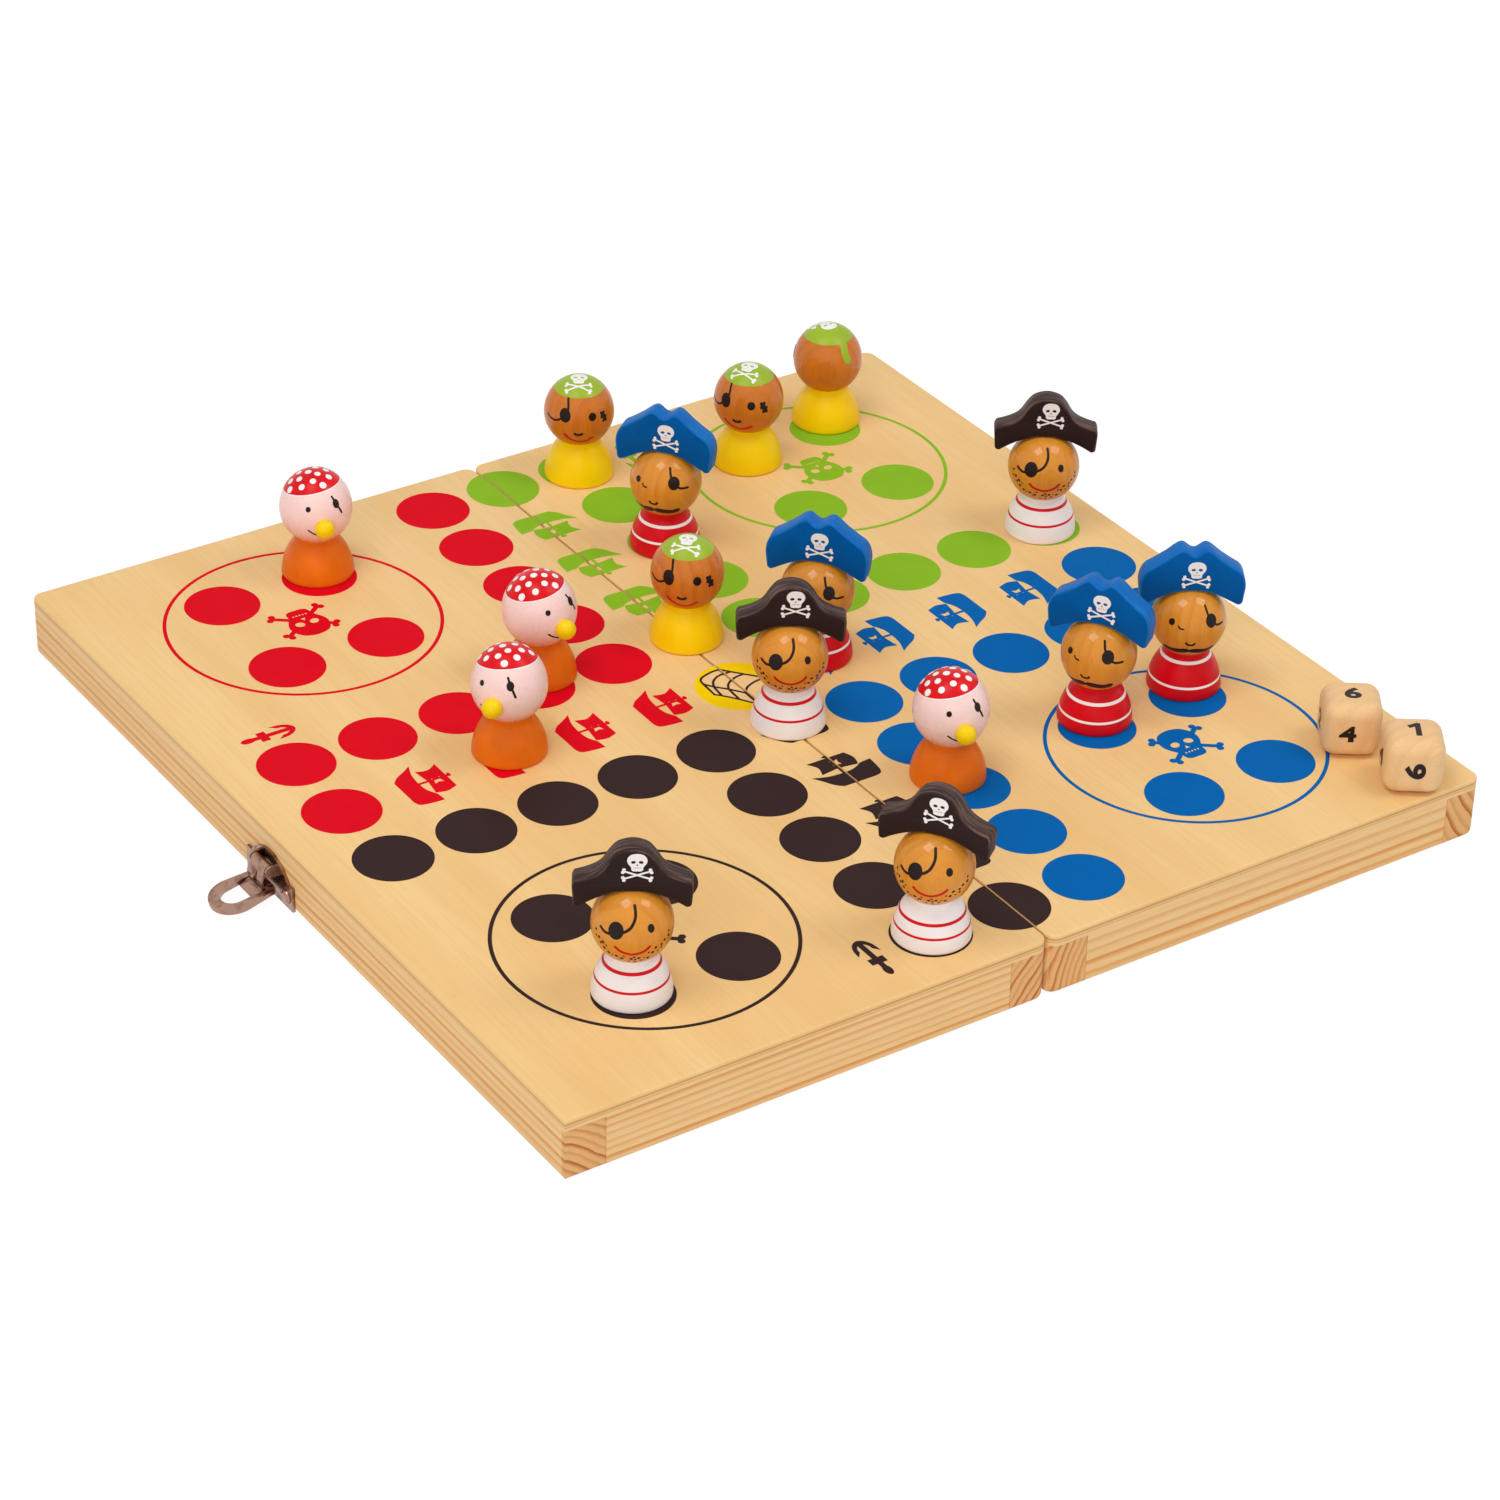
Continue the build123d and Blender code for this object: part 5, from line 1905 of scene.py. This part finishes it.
# ---------------------------------------------------------------- studio
@dataclass
class Studio:
    """Camera, softboxes and a white floor."""

    sensor: float = 36.0
    focal_share: float = 4518.15 / 1500
    azimuth: float = 55.7043
    elevation: float = 32.5108
    roll: float = 1.4749
    target: tuple[float, float, float] = (28.187, -14.761, 17.0)
    distance: float = 1137.71
    far: float = 20.0
    floor_side: float = 6.0
    floor_grey: float = 0.86
    floor_glow: float = 1.08
    floor_share: float = 0.86
    world_strength: float = 0.42

    def view(self) -> Matrix:
        """Axes of the camera: right, up and back."""
        a, e, r = radians(self.azimuth), radians(self.elevation), radians(self.roll)
        back = Vector((sin(a) * cos(e), -cos(a) * cos(e), sin(e)))
        right = Vector((0, 0, 1)).cross(back).normalized()
        up = back.cross(right)
        leaning = right * cos(r) + up * sin(r)
        return Matrix((leaning, back.cross(leaning), back)).transposed()

    def place_camera(self) -> None:
        """Camera at the viewing angle."""
        lens = bpy.data.cameras.new("camera")
        lens.sensor_width = self.sensor
        lens.lens = self.sensor * self.focal_share
        lens.clip_end = self.far
        camera = bpy.data.objects.new("camera", lens)
        axes = self.view()
        spot = (Vector(self.target) + axes.col[2] * self.distance) * MM
        camera.matrix_world = Matrix.Translation(spot) @ axes.to_4x4()
        into_scene(camera)
        bpy.context.scene.camera = camera

    def softbox(
        self, name: str, toward: tuple[float, float, float], size: float, power: float, reach: float,
        mirrored: bool = True,
    ) -> None:
        """Square lamp that shines on the board from a direction in the camera's axes."""
        lamp = bpy.data.lights.new(name, "AREA")
        lamp.shape = "SQUARE"
        lamp.size = size
        lamp.energy = power
        way = (self.view() @ Vector(toward)).normalized()
        holder = into_scene(bpy.data.objects.new(name, lamp))
        holder.location = Vector(self.target) * MM + way * reach
        holder.rotation_euler = way.to_track_quat("Z", "Y").to_euler()
        holder.visible_glossy = mirrored

    @staticmethod
    def seen(wires: Wiring) -> Socket:
        """One for rays that show a surface itself, and zero for those that only gather light."""
        rays = wires.add("ShaderNodeLightPath").outputs
        direct = wires.maths("MAXIMUM", rays["Is Camera Ray"], rays["Is Glossy Ray"])
        return wires.maths("MAXIMUM", direct, rays["Is Transmission Ray"])

    def lay_floor(self) -> None:
        """White floor that keeps a soft shadow."""
        mesh = bpy.data.meshes.new("floor")
        half = self.floor_side / 2
        corners = [(-half, -half, 0), (half, -half, 0), (half, half, 0), (-half, half, 0)]
        mesh.from_pydata(corners, [], [(0, 1, 2, 3)])
        finish = bpy.data.materials.new("white_floor")
        finish.use_nodes = True
        wires = Wiring(finish.node_tree)
        matt = wires.add("ShaderNodeBsdfDiffuse", {"Color": (*[self.floor_grey] * 3, 1)})
        white = wires.add("ShaderNodeEmission", {"Color": (1, 1, 1, 1), "Strength": self.floor_glow})
        share = wires.maths("MULTIPLY", self.seen(wires), self.floor_share)
        mixed = wires.add("ShaderNodeMixShader", {0: share, 1: matt.outputs[0], 2: white.outputs[0]})
        wires.add("ShaderNodeOutputMaterial", {"Surface": mixed.outputs[0]})
        mesh.materials.append(finish)
        into_scene(bpy.data.objects.new("floor", mesh))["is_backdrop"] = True

    def light_world(self) -> None:
        """Even pale surroundings."""
        world = bpy.data.worlds.new("studio")
        world.use_nodes = True
        wires = Wiring(world.node_tree)
        strength = wires.ramp(self.seen(wires), 0.0, 1.0, self.world_strength, 1.0)
        ground = wires.add("ShaderNodeBackground", {"Color": (1, 1, 1, 1), "Strength": strength})
        wires.add("ShaderNodeOutputWorld", {"Surface": ground.outputs[0]})
        bpy.context.scene.world = world

    def build(self) -> None:
        """Set the studio up."""
        self.place_camera()
        self.lay_floor()
        self.light_world()
        self.softbox("softbox_left", (-0.25, 0.72, 0.65), 0.5, 4.5, 1.3)
        self.softbox("softbox_right", (0.54, 0.71, 0.45), 0.5, 3.7, 1.3)
        self.softbox("fill", (-0.15, 0.0, 0.99), 1.6, 18.0, 2.2, mirrored=False)
        bpy.context.scene.view_settings.view_transform = "Standard"


def corners(box: Sequence[Sequence[float]]) -> list[list[float]]:
    """Box as plain lists."""
    return [[float(value) for value in corner] for corner in box]


def main() -> None:
    """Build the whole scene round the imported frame."""
    logging.basicConfig(level=logging.INFO, format="%(name)s: %(message)s")
    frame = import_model()
    cad_box = corners(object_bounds())
    nodes = frame["nodes"]
    Studio().build()
    board = Board()
    board.build(nodes)
    Hardware().build(nodes)
    Pawns().build(board.top)
    Dice().build()
    {"cad": cad_box, "visual": corners(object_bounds())}


if __name__ == "__main__":
    main()
